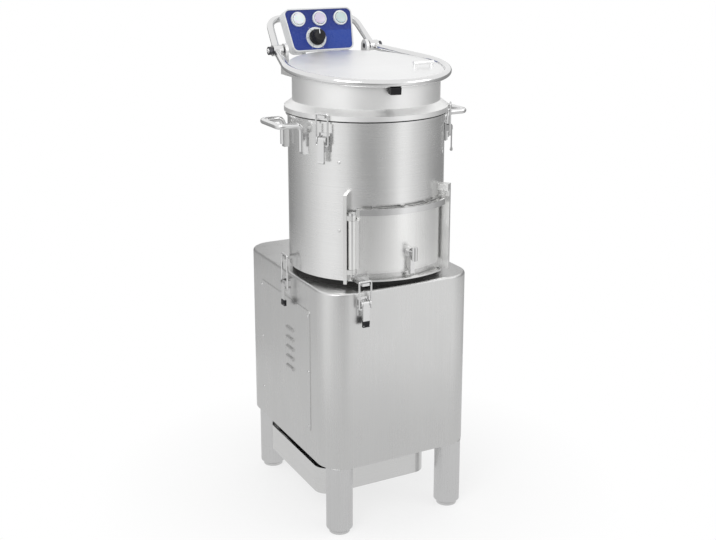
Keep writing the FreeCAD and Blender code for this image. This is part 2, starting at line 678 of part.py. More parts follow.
def make_drive():
    bore = rod(S.shaft_radius, SPAN, (0, 0, S.belt_low - SPAN / 2))
    node(less(pulley(S.big_pulley, as_size(0)), bore), "driven_pulley")

    first = float(S.big_pulley + S.belt_gap)
    second = float(S.small_pulley + S.belt_gap)
    thick = float(S.belt_thick)
    gap = float(S.motor_y)
    band = belt_face(first + thick, second + thick, gap).cut(belt_face(first, second, gap))
    middle = S.belt_low + S.pulley_flange + S.groove_wide / 2
    belt = solid("belt", band.extrude(Vector(0, 0, float(S.belt_wide))))
    node(place(belt, (0, 0, middle - S.belt_wide / 2), Rotation()), "drive_belt")

    shell = rod(S.motor_radius, S.motor_high - S.motor_low, (0, S.motor_y, S.motor_low))
    fins = []
    for index in range(SIZES["fin_count"]):
        height = S.motor_low + S.fin_pitch * (index + 1)
        fins.append(rod(S.motor_radius + S.fin_rise, S.fin_thick, (0, S.motor_y, height)))
    box = block((S.motor_radius - S.fin_rise, S.motor_y - S.terminal_wide / 2,
                 S.motor_low + S.terminal_high / 2),
                (S.terminal_deep, S.terminal_wide, S.terminal_high))
    stub = rod(S.motor_shaft + S.run_gap, S.motor_radius + SKIN,
               (0, S.motor_y, S.motor_high - S.motor_radius))
    node(less(join(shell, box, *fins), stub), "motor")
    end = S.belt_low + S.groove_wide + 2 * S.pulley_flange
    start = S.motor_high - S.motor_radius + SKIN
    node(join(pulley(S.small_pulley, S.motor_y),
              rod(S.motor_shaft, end - start, (0, S.motor_y, start))), "motor_pulley")

    back = S.cabinet_back - S.cabinet_wall
    plate = block((-S.plate_half, S.plate_front, S.motor_high),
                  (2 * S.plate_half, back - S.plate_front, S.plate_thick))
    skirt = block((-S.plate_half, back - S.plate_thick, S.motor_high - S.plate_skirt),
                  (2 * S.plate_half, S.plate_thick, S.plate_skirt))
    tie_low = S.motor_high + S.plate_thick
    tie_long = S.cabinet_high - S.cabinet_wall - tie_low
    ties = [rod(S.tie_radius, tie_long, (side * S.tie_x, S.tie_y, tie_low)) for side in (-1, 1)]
    hole = rod(S.small_pulley, 2 * S.plate_thick, (0, S.motor_y, S.motor_high - SKIN))
    node(less(join(plate, skirt, *ties), hole), "motor_plate")


def make_waste_pipe():
    points = [Vector(0, -float(S.waste_y), float(S.drum_low)),
              Vector(0, -float(S.waste_y), float(S.waste_top)),
              Vector(0, -float(S.waste_in), float(S.waste_turn)),
              Vector(0, -float(S.waste_in), float(S.waste_low))]
    path = bent_path(points, [float(S.waste_bend)] * 2)
    outer = swept(path, float(S.waste_radius))
    inner = swept(path, float(S.waste_radius - S.waste_wall))
    node(solid("pipe", outer.cut(inner)), "waste_pipe")


# Discharge door: posts, hinge pin, curved panel, gasket, bar, latch and chute lip

def make_door():
    pin_x = S.drum_radius + S.hinge_out
    post_long = S.post_high - S.post_low
    post = block((S.drum_radius - SKIN, -S.post_off - S.post_thick, S.post_low),
                 (S.post_out + SKIN, S.post_thick, post_long))
    lugs = []
    for height in (S.lug_low, S.lug_top):
        lugs.append(rod(S.hinge_radius, S.lug_high, (pin_x, 0, height)))
        lugs.append(block((pin_x - S.hinge_radius, -S.post_off, height),
                          (2 * S.hinge_radius, S.post_off, S.lug_high)))
    pin_hole = rod(S.pin_radius, SPAN, (pin_x, 0, S.post_low))
    hinge_post = facing(less(join(post, *lugs), pin_hole), -S.hinge_turn)
    keep = block((S.drum_radius - SKIN, 0, S.post_low),
                 (S.post_out + SKIN, S.post_thick, post_long))
    cap = block((S.drum_radius - SKIN, -S.post_off, S.post_high - S.keep_cap),
                (S.post_out + SKIN, S.post_off, S.keep_cap))
    keep_post = facing(join(keep, cap), S.keep_turn)
    drum = rod(S.drum_radius, SPAN, (0, 0, S.drum_low - SKIN))
    node(less(group(hinge_post, keep_post), drum), "door_posts")
    pin_low = S.lug_low - S.pin_radius
    pin = rod(S.pin_radius, S.lug_top + S.lug_high - pin_low, (pin_x, 0, pin_low))
    head = rod(S.hinge_radius, S.pin_radius, (pin_x, 0, S.lug_top + S.lug_high))
    node(facing(join(pin, head), -S.hinge_turn), "door_hinge_pin")

    inner = S.drum_radius + S.gasket_gap
    face = inner + S.gasket_thick
    tall = S.door_high - S.door_low
    plate = curved(face, face + S.door_thick, tall, -S.door_half, S.door_half, S.door_low)
    barrel_low = S.lug_low + S.lug_high + S.lug_gap
    barrel_long = S.lug_top - S.lug_gap - barrel_low
    barrel = rod(S.hinge_radius, barrel_long, (pin_x, 0, barrel_low))
    strap = block((face + S.door_thick / 2, 0, barrel_low),
                  (pin_x - face, S.hinge_out, barrel_long))
    bore = rod(S.pin_radius + S.run_gap, SPAN, (pin_x, 0, S.post_low))
    hinge_side = facing(less(join(barrel, strap), bore), -S.hinge_turn)
    clear = rod(face, SPAN, (0, 0, S.post_low))
    node(less(join(plate, hinge_side), clear), "door_panel")

    margin = S.door_half - S.opening_half
    edge = S.opening_low - S.door_low
    frame = curved(inner, face - S.glue_line, tall, -S.door_half, S.door_half, S.door_low)
    window = sector(face + SKIN, tall - 2 * edge, margin / 2 - S.door_half,
                    S.door_half - margin / 2, S.door_low + edge)
    node(less(frame, window), "door_gasket")

    outer = face + S.door_thick
    bar_in = outer + S.bar_off
    strip = curved(bar_in, bar_in + S.bar_thick, S.bar_high, S.bar_trim - S.bar_half, S.bar_half,
                   S.bar_low)
    studs = [facing(block((outer, -S.bar_thick, S.bar_low),
                          (S.bar_off + S.bar_thick / 2, 2 * S.bar_thick, S.bar_high)), turn)
             for turn in (-S.bar_stud_turn, as_size(0), S.bar_stud_turn)]
    node(less(join(strip, *studs), rod(outer, SPAN, (0, 0, S.post_low))), "door_bar")

    lip = curved(S.drum_radius, S.drum_radius + S.lip_out + S.keeper_thick, S.lip_high,
                 -S.lip_half, S.lip_half, S.lip_low)
    keeper = block((S.drum_radius + S.lip_out, -S.keeper_half, S.lip_low),
                   (S.keeper_thick, 2 * S.keeper_half,
                    S.latch_tip - S.keeper_gap - S.lip_low))
    node(join(lip, facing(keeper, S.latch_turn)), "chute_lip")

    hub_x = outer
    disc = rod(S.latch_hub, S.latch_out, (hub_x, 0, S.latch_height), "X")
    tip = block((hub_x + S.latch_out / 2, -S.latch_half, S.latch_tip),
                (S.latch_deep, 2 * S.latch_half, S.latch_height - S.latch_tip))
    reach = S.latch_reach - S.drum_radius
    grip_x = S.drum_radius + reach - S.grip_radius
    neck = rod(S.latch_half, grip_x - hub_x, (hub_x, 0, S.latch_height), "X")
    grip = rod(S.grip_radius, S.grip_long, (grip_x, 0, S.latch_height - S.grip_long / 2))
    node(facing(less(join(disc, tip, neck, grip), rod(outer, SPAN, (0, 0, S.post_low))),
                S.latch_turn), "door_latch")


# Hood casting with its shelf, ears and pedestal, and the pieces that close it

def box_frame(obj):
    """Places a piece drawn on the control box's upright face frame."""
    return moved(obj, (0, S.box_y, S.box_z), X_AXIS, -S.box_tilt)


def make_hood():
    low = S.drum_high + S.hood_gasket
    flange_top = low + S.hood_flange_high
    slope_top = flange_top + S.hood_slope
    inner = S.hood_radius - S.hood_wall
    top = S.lid_height + 4 * S.tube_radius
    profile = [(inner, low), (S.hood_flange, low), (S.hood_flange, flange_top),
               (S.hood_radius, slope_top), (S.hood_radius, top), (inner, top)]
    above = moved(block((-SPAN / 2, -SPAN / 2, -S.rim_drop), (SPAN, SPAN, SPAN)),
                  (0, 0, S.lid_height), X_AXIS, S.lid_tilt)
    bowl = less(revolved(profile), above)
    shelf = block((-S.shelf_half, S.shelf_from, S.shelf_low),
                  (2 * S.shelf_half, S.shelf_to - S.shelf_from, S.shelf_thick))
    ears = []
    for side in (-1, 1):
        left = S.ear_in if side > 0 else -S.ear_in - S.ear_thick
        ears.append(block((left, S.ear_from, S.shelf_low),
                          (S.ear_thick, S.hinge_y + S.ear_radius - S.ear_from, S.shelf_thick)))
        ears.append(block((left, S.hinge_y - S.ear_radius, S.shelf_low),
                          (S.ear_thick, 2 * S.ear_radius, S.hinge_z - S.shelf_low)))
        ears.append(rod(S.ear_radius, S.ear_thick, (left, S.hinge_y, S.hinge_z), "X"))
    pedestal_z = S.pedestal_deep + S.bezel
    pedestal = box_frame(block((-S.pedestal_half, S.bezel, -pedestal_z),
                               (2 * S.pedestal_half, S.pedestal_deep, S.pedestal_deep)))
    pins = rod(S.pivot_radius, SPAN, (-SPAN / 2, S.hinge_y, S.hinge_z), "X")
    mouth = rod(inner, SPAN, (0, 0, low))
    water = facing(rod(S.inlet_radius, S.inlet_out, (0, 0, S.inlet_height), "X"),
                   S.inlet_turn)
    wires = rod(S.conduit_bore, S.shelf_thick + 2 * SKIN,
                (S.conduit_x, S.conduit_y, S.shelf_low - SKIN))
    node(less(join(bowl, shelf, pedestal, *ears), pins, mouth, water, wires), "hood_casting")
    node(group(ring(S.hood_flange - S.rim_wide, inner + SKIN, S.hood_gasket,
                    (0, 0, S.drum_high))), "hood_gasket")

    inlet_start = inner + SKIN
    pipe = rod(S.inlet_radius, S.inlet_out - inlet_start, (inlet_start, 0, S.inlet_height), "X")
    collar = rod(S.inlet_collar, S.inlet_collar_long,
                 (S.hood_radius + SKIN, 0, S.inlet_height), "X")
    bore = rod(S.inlet_bore, S.inlet_out, (0, 0, S.inlet_height), "X")
    node(facing(less(join(pipe, collar), bore), S.inlet_turn), "water_inlet")


# Lid, its tube frame and hinge pins

def lid_frame_half():
    """Half of the bent tube: ring front, arm, hinge corner and hoop, in the drum's frame."""
    tilt = Rotation(X_AXIS, float(S.lid_tilt))
    centre = Vector(0, 0, float(S.lid_height))
    radius = float(S.frame_ring)
    hinge = Vector(float(S.arm_x), float(S.hinge_y), float(S.hinge_z))
    flat = tilt.inverted().multVec(hinge - centre)
    distance = math.hypot(flat.x, flat.y)
    touch = math.atan2(flat.x, flat.y) + math.acos(radius / distance)

    def on_ring(angle):
        spot = Vector(radius * math.sin(angle), radius * math.cos(angle), 0)
        return centre + tilt.multVec(spot)

    front = on_ring(math.pi)
    leave = on_ring(touch)
    round_front = Part.Arc(front, on_ring((math.pi + touch) / 2), leave).toShape()
    hoop_y = float(S.hoop_reach - S.tube_radius)
    corner = Vector(float(S.hoop_x), hoop_y, float(S.hoop_z))
    middle = Vector(0, hoop_y, float(S.hoop_z))
    hinge_flat = centre + tilt.multVec(Vector(flat.x, flat.y, 0))
    back = bent_path([leave, hinge_flat, corner, middle],
                     [float(S.arm_bend), float(S.hoop_bend)])
    path = Part.Wire([round_front] + back.Edges)
    return swept(path, float(S.tube_radius))


def make_lid():
    half = lid_frame_half()
    other = half.mirror(Vector(0, 0, 0), X_AXIS)
    tube = solid("tube", half.fuse(other).removeSplitter())
    sleeves = [rod(S.sleeve_radius, 2 * S.sleeve_half,
                   (side * S.arm_x - S.sleeve_half, S.hinge_y, S.hinge_z), "X")
               for side in (-1, 1)]
    bore = rod(S.pivot_radius + S.run_gap, SPAN, (-SPAN / 2, S.hinge_y, S.hinge_z), "X")
    node(less(join(tube, *sleeves), bore), "lid_frame")

    radius = S.frame_ring - S.tube_radius - S.lid_gap
    disc = rod(radius, S.lid_thick, (0, 0, -S.lid_thick / 2))
    seal_low = -S.rim_drop + S.lid_gap
    seal = ring(S.hood_radius, S.hood_radius - S.seal_wide, -seal_low, (0, 0, seal_low))
    posts = [rod(S.grip_wire, S.grip_rise, (S.grip_x + side * S.grip_half, -S.grip_y, 0))
             for side in (-1, 1)]
    bridge = rod(S.grip_wire, 2 * (S.grip_half + S.grip_wire),
                 (S.grip_x - S.grip_half - S.grip_wire, -S.grip_y, S.grip_rise), "X")
    lid = join(disc, seal, bridge, *posts)
    node(moved(lid, (0, 0, S.lid_height), X_AXIS, S.lid_tilt), "lid_disc")

    magnet = facing(block((S.frame_ring - S.magnet_deep / 2, -S.magnet_half,
                           -S.tube_radius - S.magnet_high + SKIN),
                          (S.magnet_deep, 2 * S.magnet_half, S.magnet_high)), -S.magnet_turn)
    torus = doc.addObject("Part::Torus", "torus")
    bind(torus, "Radius1", S.frame_ring)
    bind(torus, "Radius2", S.tube_radius)
    node(moved(less(magnet, torus), (0, 0, S.lid_height), X_AXIS, S.lid_tilt),
         "lid_magnet")

    pins = []
    for side in (-1, 1):
        start = S.ear_in if side > 0 else -S.pivot_end
        pins.append(rod(S.pivot_radius, S.pivot_end - S.ear_in, (start, S.hinge_y, S.hinge_z),
                        "X"))
        outer = S.pivot_end - S.pivot_head_long if side > 0 else -S.pivot_end
        pins.append(rod(S.pivot_head, S.pivot_head_long, (outer, S.hinge_y, S.hinge_z), "X"))
    node(group(join(*pins[:2]), join(*pins[2:])), "hinge_pins")


# Control box: housing, panel, buttons, timer and services

def face_outline(grow):
    low = S.face_low_half + grow
    top = S.face_top_half + grow
    return [(-low, -grow), (low, -grow), (top, S.face_high + grow), (-top, S.face_high + grow)]


def button(name, spot):
    cap_front = -S.button_back - S.button_high
    cap = rod(S.button_radius, S.button_high, (spot, cap_front, S.button_z), "Y")
    stem = rod(S.stem_small, S.button_back + S.stem_reach, (spot, -S.button_back, S.button_z),
               "Y")
    node(box_frame(join(cap, stem)), name)


def make_control_box():
    body = new_body()
    pad = padded(body, "XZ_Plane", face_outline(S.bezel), S.box_deep + S.bezel_proud, True)
    rounded(body, pad, S.box_corner, along(Y_AXIS))
    place(body, (0, -S.bezel_proud, 0), Rotation())
    room = new_body()
    pad = padded(room, "XZ_Plane", face_outline(as_size(0)),
                 S.box_deep + S.bezel_proud + SKIN - S.box_back, True)
    rounded(room, pad, S.face_corner, along(Y_AXIS))
    place(room, (0, -S.bezel_proud - SKIN, 0), Rotation())
    node(box_frame(less(body, room)), "control_box")

    panel = new_body()
    pad = padded(panel, "XZ_Plane", face_outline(-S.panel_gap), S.panel_thick, True)
    rounded(panel, pad, S.face_corner, along(Y_AXIS))
    spots = (-S.button_step, as_size(0), S.button_step)
    holes = [rod(S.stem_small + S.hole_gap, 4 * S.panel_thick, (spot, -S.panel_thick, S.button_z),
                 "Y") for spot in spots]
    holes.append(rod(S.knob_stem + S.hole_gap, 4 * S.panel_thick,
                     (-S.knob_x, -S.panel_thick, S.knob_z), "Y"))
    node(box_frame(less(panel, *holes)), "control_panel")

    rings = [ring(S.collar_radius, S.button_radius + S.collar_gap, S.collar_high,
                  (spot, -S.collar_high, S.button_z), "Y") for spot in spots]
    rings.append(ring(S.dial_radius, S.knob_stem + S.hole_gap, S.dial_thick,
                      (-S.knob_x, -S.dial_thick, S.knob_z), "Y"))
    node(box_frame(group(*rings)), "bezel_rings")
    for name, spot in zip(("lamp_button", "stop_button", "start_button"), spots):
        button(name, spot)

    knob_front = -S.knob_off - S.knob_high
    knob = cone(S.knob_top, S.knob_radius, S.knob_high, (-S.knob_x, knob_front, S.knob_z), "Y")
    stem = rod(S.knob_stem, S.knob_off + S.stem_reach, (-S.knob_x, -S.knob_off, S.knob_z), "Y")
    mark = block((-S.knob_x - SKIN, knob_front - SKIN, S.knob_z), (2 * SKIN, 2 * SKIN,
                                                                   S.knob_top))
    node(box_frame(join(knob, stem, mark)), "timer_knob")

    blocks = []
    switch_y = S.box_deep - S.box_back - S.switch_thick - S.run_gap
    for spot, height in zip(spots + (-S.knob_x,), (S.button_z,) * 3 + (S.knob_z,)):
        blocks.append(block((spot - S.switch_half, switch_y, height - S.switch_half),
                            (2 * S.switch_half, S.switch_thick, 2 * S.switch_half)))
    node(box_frame(group(*blocks)), "switch_blocks")


def make_services():
    nut = rod(S.gland_radius, S.gland_out / 2, (S.cabinet_half, S.gland_y, S.gland_z), "X")
    cap = cone(S.gland_radius, S.gland_bore + 2 * SKIN, S.gland_out / 2,
               (S.cabinet_half + S.gland_out / 2, S.gland_y, S.gland_z), "X")
    bore = rod(S.gland_bore, S.gland_out + 2 * SKIN,
               (S.cabinet_half - SKIN, S.gland_y, S.gland_z), "X")
    node(less(join(nut, cap), bore), "cable_gland")
    node(group(ring(S.conduit_radius, S.conduit_bore, S.shelf_low - S.cabinet_high,
                    (S.conduit_x, S.conduit_y, S.cabinet_high))), "wiring_conduit")


def make_handles():
    handles = []
    reach = float(S.handle_reach - S.handle_wire)
    near = float(S.drum_radius + S.handle_wire)
    half = float(S.handle_half)
    height = float(S.handle_z)
    low = float(S.handle_plate_low + S.handle_wire)
    points = [Vector(near, -half, low), Vector(near, -half, height), Vector(reach, -half, height),
              Vector(reach, half, height), Vector(near, half, height), Vector(near, half, low)]
    path = bent_path(points, [float(S.handle_bend)] * 4)
    loop = swept(path, float(S.handle_wire))
    for side in (-1, 1):
        shape = loop if side > 0 else loop.mirror(Vector(0, 0, 0), X_AXIS)
        left = S.drum_radius / 2 if side > 0 else -S.drum_radius - S.handle_wire
        plates = [block((left, across * S.handle_half - S.handle_wire, S.handle_plate_low),
                        (S.drum_radius / 2 + S.handle_wire, 2 * S.handle_wire,
                         S.handle_plate_high - S.handle_plate_low)) for across in (-1, 1)]
        drum = rod(S.drum_radius, SPAN, (0, 0, S.drum_low))
        handles.append(join(solid("loop", shape), less(join(*plates), drum)))
    node(group(*handles), "carry_handles")


# Toggle clamps: base with pivot, lever, wire loop and catch, drawn on +X with the face at x = 0

def clamp_base(height):
    plate = block((0, -S.clamp_plate_half, height - S.clamp_plate_down),
                  (S.clamp_plate, 2 * S.clamp_plate_half,
                   S.clamp_plate_up + S.clamp_plate_down))
    cheeks = []
    for side in (-1, 1):
        left = S.clamp_cheek_in if side > 0 else -S.clamp_cheek_in - S.clamp_cheek
        cheeks.append(block((0, left, height - S.clamp_eye),
                            (S.clamp_pivot, S.clamp_cheek, 2 * S.clamp_eye)))
        cheeks.append(rod(S.clamp_eye, S.clamp_cheek, (S.clamp_pivot, left, height), "Y"))
    pin_half = S.clamp_cheek_in + S.clamp_cheek
    pin = rod(S.clamp_pin, 2 * pin_half, (S.clamp_pivot, -pin_half, height), "Y")
    return join(plate, pin, *cheeks)


def clamp_lever(height):
    start = -S.lever_half
    wide = 2 * S.lever_half
    eye = rod(S.clamp_eye - SKIN, wide, (S.clamp_pivot, start, height), "Y")
    tail = rod(2 * S.wire + SKIN / 2, wide, (S.clamp_pivot, start, height - S.throw), "Y")
    web = block((S.clamp_pivot - S.wire, start, height - S.throw),
                (S.lever_off + S.lever_thick + S.wire, wide, S.throw))
    handle = block((S.clamp_pivot + S.lever_off, start, height - S.lever_long),
                   (S.lever_thick, wide, S.lever_long))
    grip = rod(S.lever_thick, wide, (S.clamp_pivot + S.lever_off + S.lever_thick / 2, start,
                                     height - S.lever_long), "Y")
    pin = rod(S.clamp_pin + S.clamp_gap, 2 * wide, (S.clamp_pivot, 2 * start, height), "Y")
    hook = rod(S.wire + S.clamp_gap, 2 * wide, (S.clamp_pivot, 2 * start, height - S.throw), "Y")
    return less(join(eye, tail, web, handle, grip), pin, hook)


def clamp_loop(height, reach):
    """A closed wire link, swept as two halves that meet in the middle of its bars."""
    x = float(S.clamp_pivot)
    half = float(S.loop_half)
    low = float(height - S.throw)
    top = float(height + reach)
    points = [Vector(x, 0, low), Vector(x, half, low), Vector(x, half, top), Vector(x, 0, top)]
    side = swept(bent_path(points, [float(S.loop_bend)] * 2), float(S.wire))
    return group(solid("link", side.fuse(side.mirror(Vector(0, 0, 0), Y_AXIS))))


def clamp_ledge(height, reach, start):
    top = height + reach - S.wire - S.seat_gap
    return block((start, -S.ledge_half, top - S.ledge_high),
                 (S.ledge_out - start, 2 * S.ledge_half, S.ledge_high))


def make_clamps():
    hood_z = S.hood_clamp_z
    side_z = S.side_clamp_z
    radius = S.drum_radius
    clamps = [
        ("hood_left", -S.hood_clamp_turn, None, hood_z, S.hood_clamp_reach),
        ("hood_right", S.hood_clamp_turn, None, hood_z, S.hood_clamp_reach),
        ("drum_left", as_size(-90), (-S.cabinet_half, S.side_clamp_y), side_z,
         S.side_clamp_reach),
        ("drum_right", as_size(90), (S.cabinet_half, S.side_clamp_y), side_z,
         S.side_clamp_reach),
        ("drum_front", as_size(0), (-S.front_clamp_x, -S.cabinet_front), side_z,
         S.front_clamp_reach),
    ]
    bases = []
    ledges = []
    for name, turn, spot, height, reach in clamps:
        if spot is None:
            angle = math.radians(turn.value)
            sine = Size(math.sin(angle), f"sin({turn.text})")
            cosine = Size(math.cos(angle), f"cos({turn.text})")
            at = (radius * sine, -radius * cosine, 0)
            start = S.hood_flange - radius - 2 * SKIN
            trim = S.hood_flange
        else:
            at = (spot[0], spot[1], 0)
            start = -S.cabinet_corner
            trim = radius
        bases.append(facing(clamp_base(height), turn, at))
        ledge = facing(clamp_ledge(height, reach, start), turn, at)
        ledges.append(less(ledge, rod(trim, SPAN, (0, 0, S.drum_low))))
        node(facing(clamp_lever(height), turn, at), f"{name}_lever")
        node(facing(clamp_loop(height, reach), turn, at), f"{name}_loop")
    node(group(*bases), "clamp_bases")
    node(group(*ledges), "clamp_catches")


def check_and_export():
    doc.recompute()
    for obj in doc.Objects:
        if {"Invalid", "Error"} & set(obj.State):
            raise RuntimeError(f"{obj.Name} ({obj.Label}) is {obj.State}")
    for obj in NODES:
        if obj.Shape.isNull() or not obj.Shape.isValid() or not obj.Shape.Solids:
            raise RuntimeError(f"{obj.Label} has no valid solid")
    os.makedirs("parts", exist_ok=True)
    for obj in NODES:
        obj.Shape.exportStep(f"parts/{obj.Label}.step")
    whole = Part.makeCompound([obj.Shape for obj in NODES]).BoundBox
    print(f"{len(NODES)} nodes; x {whole.XMin:.2f} {whole.XMax:.2f}, y {whole.YMin:.2f} "
          f"{whole.YMax:.2f}, z {whole.ZMin:.2f} {whole.ZMax:.2f}")


make_cabinet()
make_side_cover()
make_legs()
make_drawer()
make_drum()
make_rotor()
make_drive()
make_waste_pipe()
make_door()
make_hood()
make_lid()
make_control_box()
make_services()
make_handles()
make_clamps()
check_and_export()
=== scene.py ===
# %% [markdown]
# # An electric potato peeler in stainless steel
# The machine is a drum on a cabinet. A rough disc turns in the drum and rubs the skins off, water
# washes them down into a drawer under the cabinet, and a small blue panel sets the time.
# The engineering model is loaded first, as a frame that is never moved. This lesson gives it
# its finishes and adds the small things that it lacks: domed buttons, a ribbed knob, screws.

# %% Load the frame
import json
import math

import bpy
from mathutils import Matrix, Vector


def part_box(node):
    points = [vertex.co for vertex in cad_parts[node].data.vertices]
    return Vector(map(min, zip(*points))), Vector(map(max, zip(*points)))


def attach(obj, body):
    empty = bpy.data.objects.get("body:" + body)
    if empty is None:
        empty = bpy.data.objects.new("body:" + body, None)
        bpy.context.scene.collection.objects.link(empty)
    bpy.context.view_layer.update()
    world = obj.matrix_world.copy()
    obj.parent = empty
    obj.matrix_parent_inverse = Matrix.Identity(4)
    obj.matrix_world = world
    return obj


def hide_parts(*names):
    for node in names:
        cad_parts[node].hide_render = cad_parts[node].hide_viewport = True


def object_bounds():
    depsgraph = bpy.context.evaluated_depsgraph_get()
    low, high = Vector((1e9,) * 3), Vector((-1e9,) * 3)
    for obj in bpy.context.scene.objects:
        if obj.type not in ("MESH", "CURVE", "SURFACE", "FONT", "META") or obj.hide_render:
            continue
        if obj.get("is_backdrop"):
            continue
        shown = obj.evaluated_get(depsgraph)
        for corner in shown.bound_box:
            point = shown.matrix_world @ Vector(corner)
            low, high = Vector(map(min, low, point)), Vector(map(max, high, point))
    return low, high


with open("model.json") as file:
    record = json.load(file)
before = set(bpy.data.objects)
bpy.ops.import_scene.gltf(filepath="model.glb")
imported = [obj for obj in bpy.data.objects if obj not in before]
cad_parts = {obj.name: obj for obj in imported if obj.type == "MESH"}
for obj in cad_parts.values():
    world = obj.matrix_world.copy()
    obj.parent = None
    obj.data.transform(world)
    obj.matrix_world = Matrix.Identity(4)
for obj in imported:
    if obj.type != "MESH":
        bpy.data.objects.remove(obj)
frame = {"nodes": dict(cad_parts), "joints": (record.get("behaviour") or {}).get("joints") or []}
NODES = frame["nodes"]
JOINTS = {joint["name"]: joint for joint in frame["joints"]}
cad_box = [list(corner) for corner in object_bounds()]
MM = 0.001
print(len(NODES), "pieces, from", cad_box[0], "to", cad_box[1])


# %% [markdown]
# ## The camera
# The photograph looks down a little, from the front left. A shifted lens keeps the picture's
# upright lines nearly parallel, as a shop photographer does, so the camera has a small shift.

# %% Place the camera
CAMERA_AT = (-1.11032, -2.12165, 1.26061)
CAMERA_PITCH = 13.76
CAMERA_TURN = -27.64
PHOTO_WIDE = 716
FOCAL_PIXELS = 1137.05
LENS_DROP_PIXELS = 72.2

lens = bpy.data.cameras.new("camera")
lens.sensor_width = 36
lens.lens = FOCAL_PIXELS / PHOTO_WIDE * lens.sensor_width
lens.shift_y = -LENS_DROP_PIXELS / PHOTO_WIDE
camera = bpy.data.objects.new("camera", lens)
bpy.context.scene.collection.objects.link(camera)
camera.location = CAMERA_AT
camera.rotation_euler = [math.radians(a) for a in (90 - CAMERA_PITCH, 0, CAMERA_TURN)]
bpy.context.scene.camera = camera
bpy.context.scene.view_settings.view_transform = "Standard"
print("lens", round(lens.lens, 2), "mm, shift", round(lens.shift_y, 4))


# %% [markdown]
# ## The studio
# Steel has no colour of its own: it shows the room. The photograph's drum has bright bands from
# two soft boxes and grey bands from the gaps between them. A ring-shaped reflector round
# the machine does the same here. Only reflections see it, so it throws no shadow.

# %% A small builder for node materials
class Nodes:
    """A node tree being put together, and short ways to add to it."""

    def __init__(self, tree):
        self.tree = tree

    def set(self, node, values):
        for name, value in values.items():
            if isinstance(value, bpy.types.NodeSocket):
                self.tree.links.new(value, node.inputs[name])
            else:
                node.inputs[name].default_value = value

    def add(self, kind, values=None, **options):
        node = self.tree.nodes.new("ShaderNode" + kind)
        for name, value in options.items():
            setattr(node, name, value)
        self.set(node, values or {})
        return node

    def maths(self, operation, first, second=0.0):
        return self.add("Math", {0: first, 1: second}, operation=operation).outputs[0]

    def place(self, scale):
        """The piece's own coordinates in metres, stretched by a scale for each axis."""
        where = self.add("TexCoord").outputs["Object"]
        return self.add("Mapping", {"Vector": where, "Scale": scale}).outputs[0]

    def noise(self, scale, detail=3.0, low=0.0, high=1.0):
        """Noise between low and high; a scale of three numbers stretches it."""
        node = self.add("TexNoise", {"Vector": self.place(scale), "Scale": 1.0,
                                     "Detail": detail})
        return self.between(node.outputs[0], 0.3, 0.7, low, high)

    def between(self, value, start, end, low, high):
        values = {"Value": value, "From Min": start, "From Max": end, "To Min": low,
                  "To Max": high}
        return self.add("MapRange", values).outputs[0]

    def blend(self, share, first, second):
        """A colour between two colours."""
        node = self.add("Mix", data_type="RGBA")
        first = first if isinstance(first, bpy.types.NodeSocket) else (*first, 1)
        second = second if isinstance(second, bpy.types.NodeSocket) else (*second, 1)
        self.set(node, {0: share, 6: first, 7: second})
        return node.outputs[2]

    def bump(self, height, distance, strength=1.0, normal=None):
        values = {"Height": height, "Distance": distance, "Strength": strength}
        if normal is not None:
            values["Normal"] = normal
        return self.add("Bump", values).outputs[0]


class Look(Nodes):
    """A material being put together, with its main shader."""

    def __init__(self, name, colour=(0.8, 0.8, 0.8), metal=0.0, rough=0.5):
        self.material = bpy.data.materials.new(name)
        self.material.use_nodes = True
        super().__init__(self.material.node_tree)
        self.shader = self.tree.nodes["Principled BSDF"]
        self.output = self.tree.nodes["Material Output"]
        self.set(self.shader, {"Base Color": (*colour, 1), "Metallic": metal, "Roughness": rough})


print("look builder ready")

# %% Sky, floor and lamps
FLOOR_HALF = 6.0
# The floor's brightness as mirrored in the steel
FLOOR_MIRRORED = 0.68
# The paper glows white from the far distance on, and a little less up to the near one
FLOOR_NEAR = 0.2
FLOOR_FAR = 0.6
FLOOR_NEAR_GLOW = 0.7
SKY_LIGHT = 0.72


def light_path_share(look):
    """1 for rays that should see plain white: straight from the camera, mirrored or through."""
    path = look.add("LightPath").outputs
    seen = look.maths("MAXIMUM", path["Is Camera Ray"], path["Is Glossy Ray"])
    return look.maths("MAXIMUM", seen, path["Is Transmission Ray"])


def make_world():
    world = bpy.data.worlds.new("studio")
    world.use_nodes = True
    bpy.context.scene.world = world
    look = Nodes(world.node_tree)
    background = look.tree.nodes["Background"]
    strength = look.between(light_path_share(look), 0, 1, SKY_LIGHT, 1.0)
    look.set(background, {"Color": (1, 1, 1, 1), "Strength": strength})


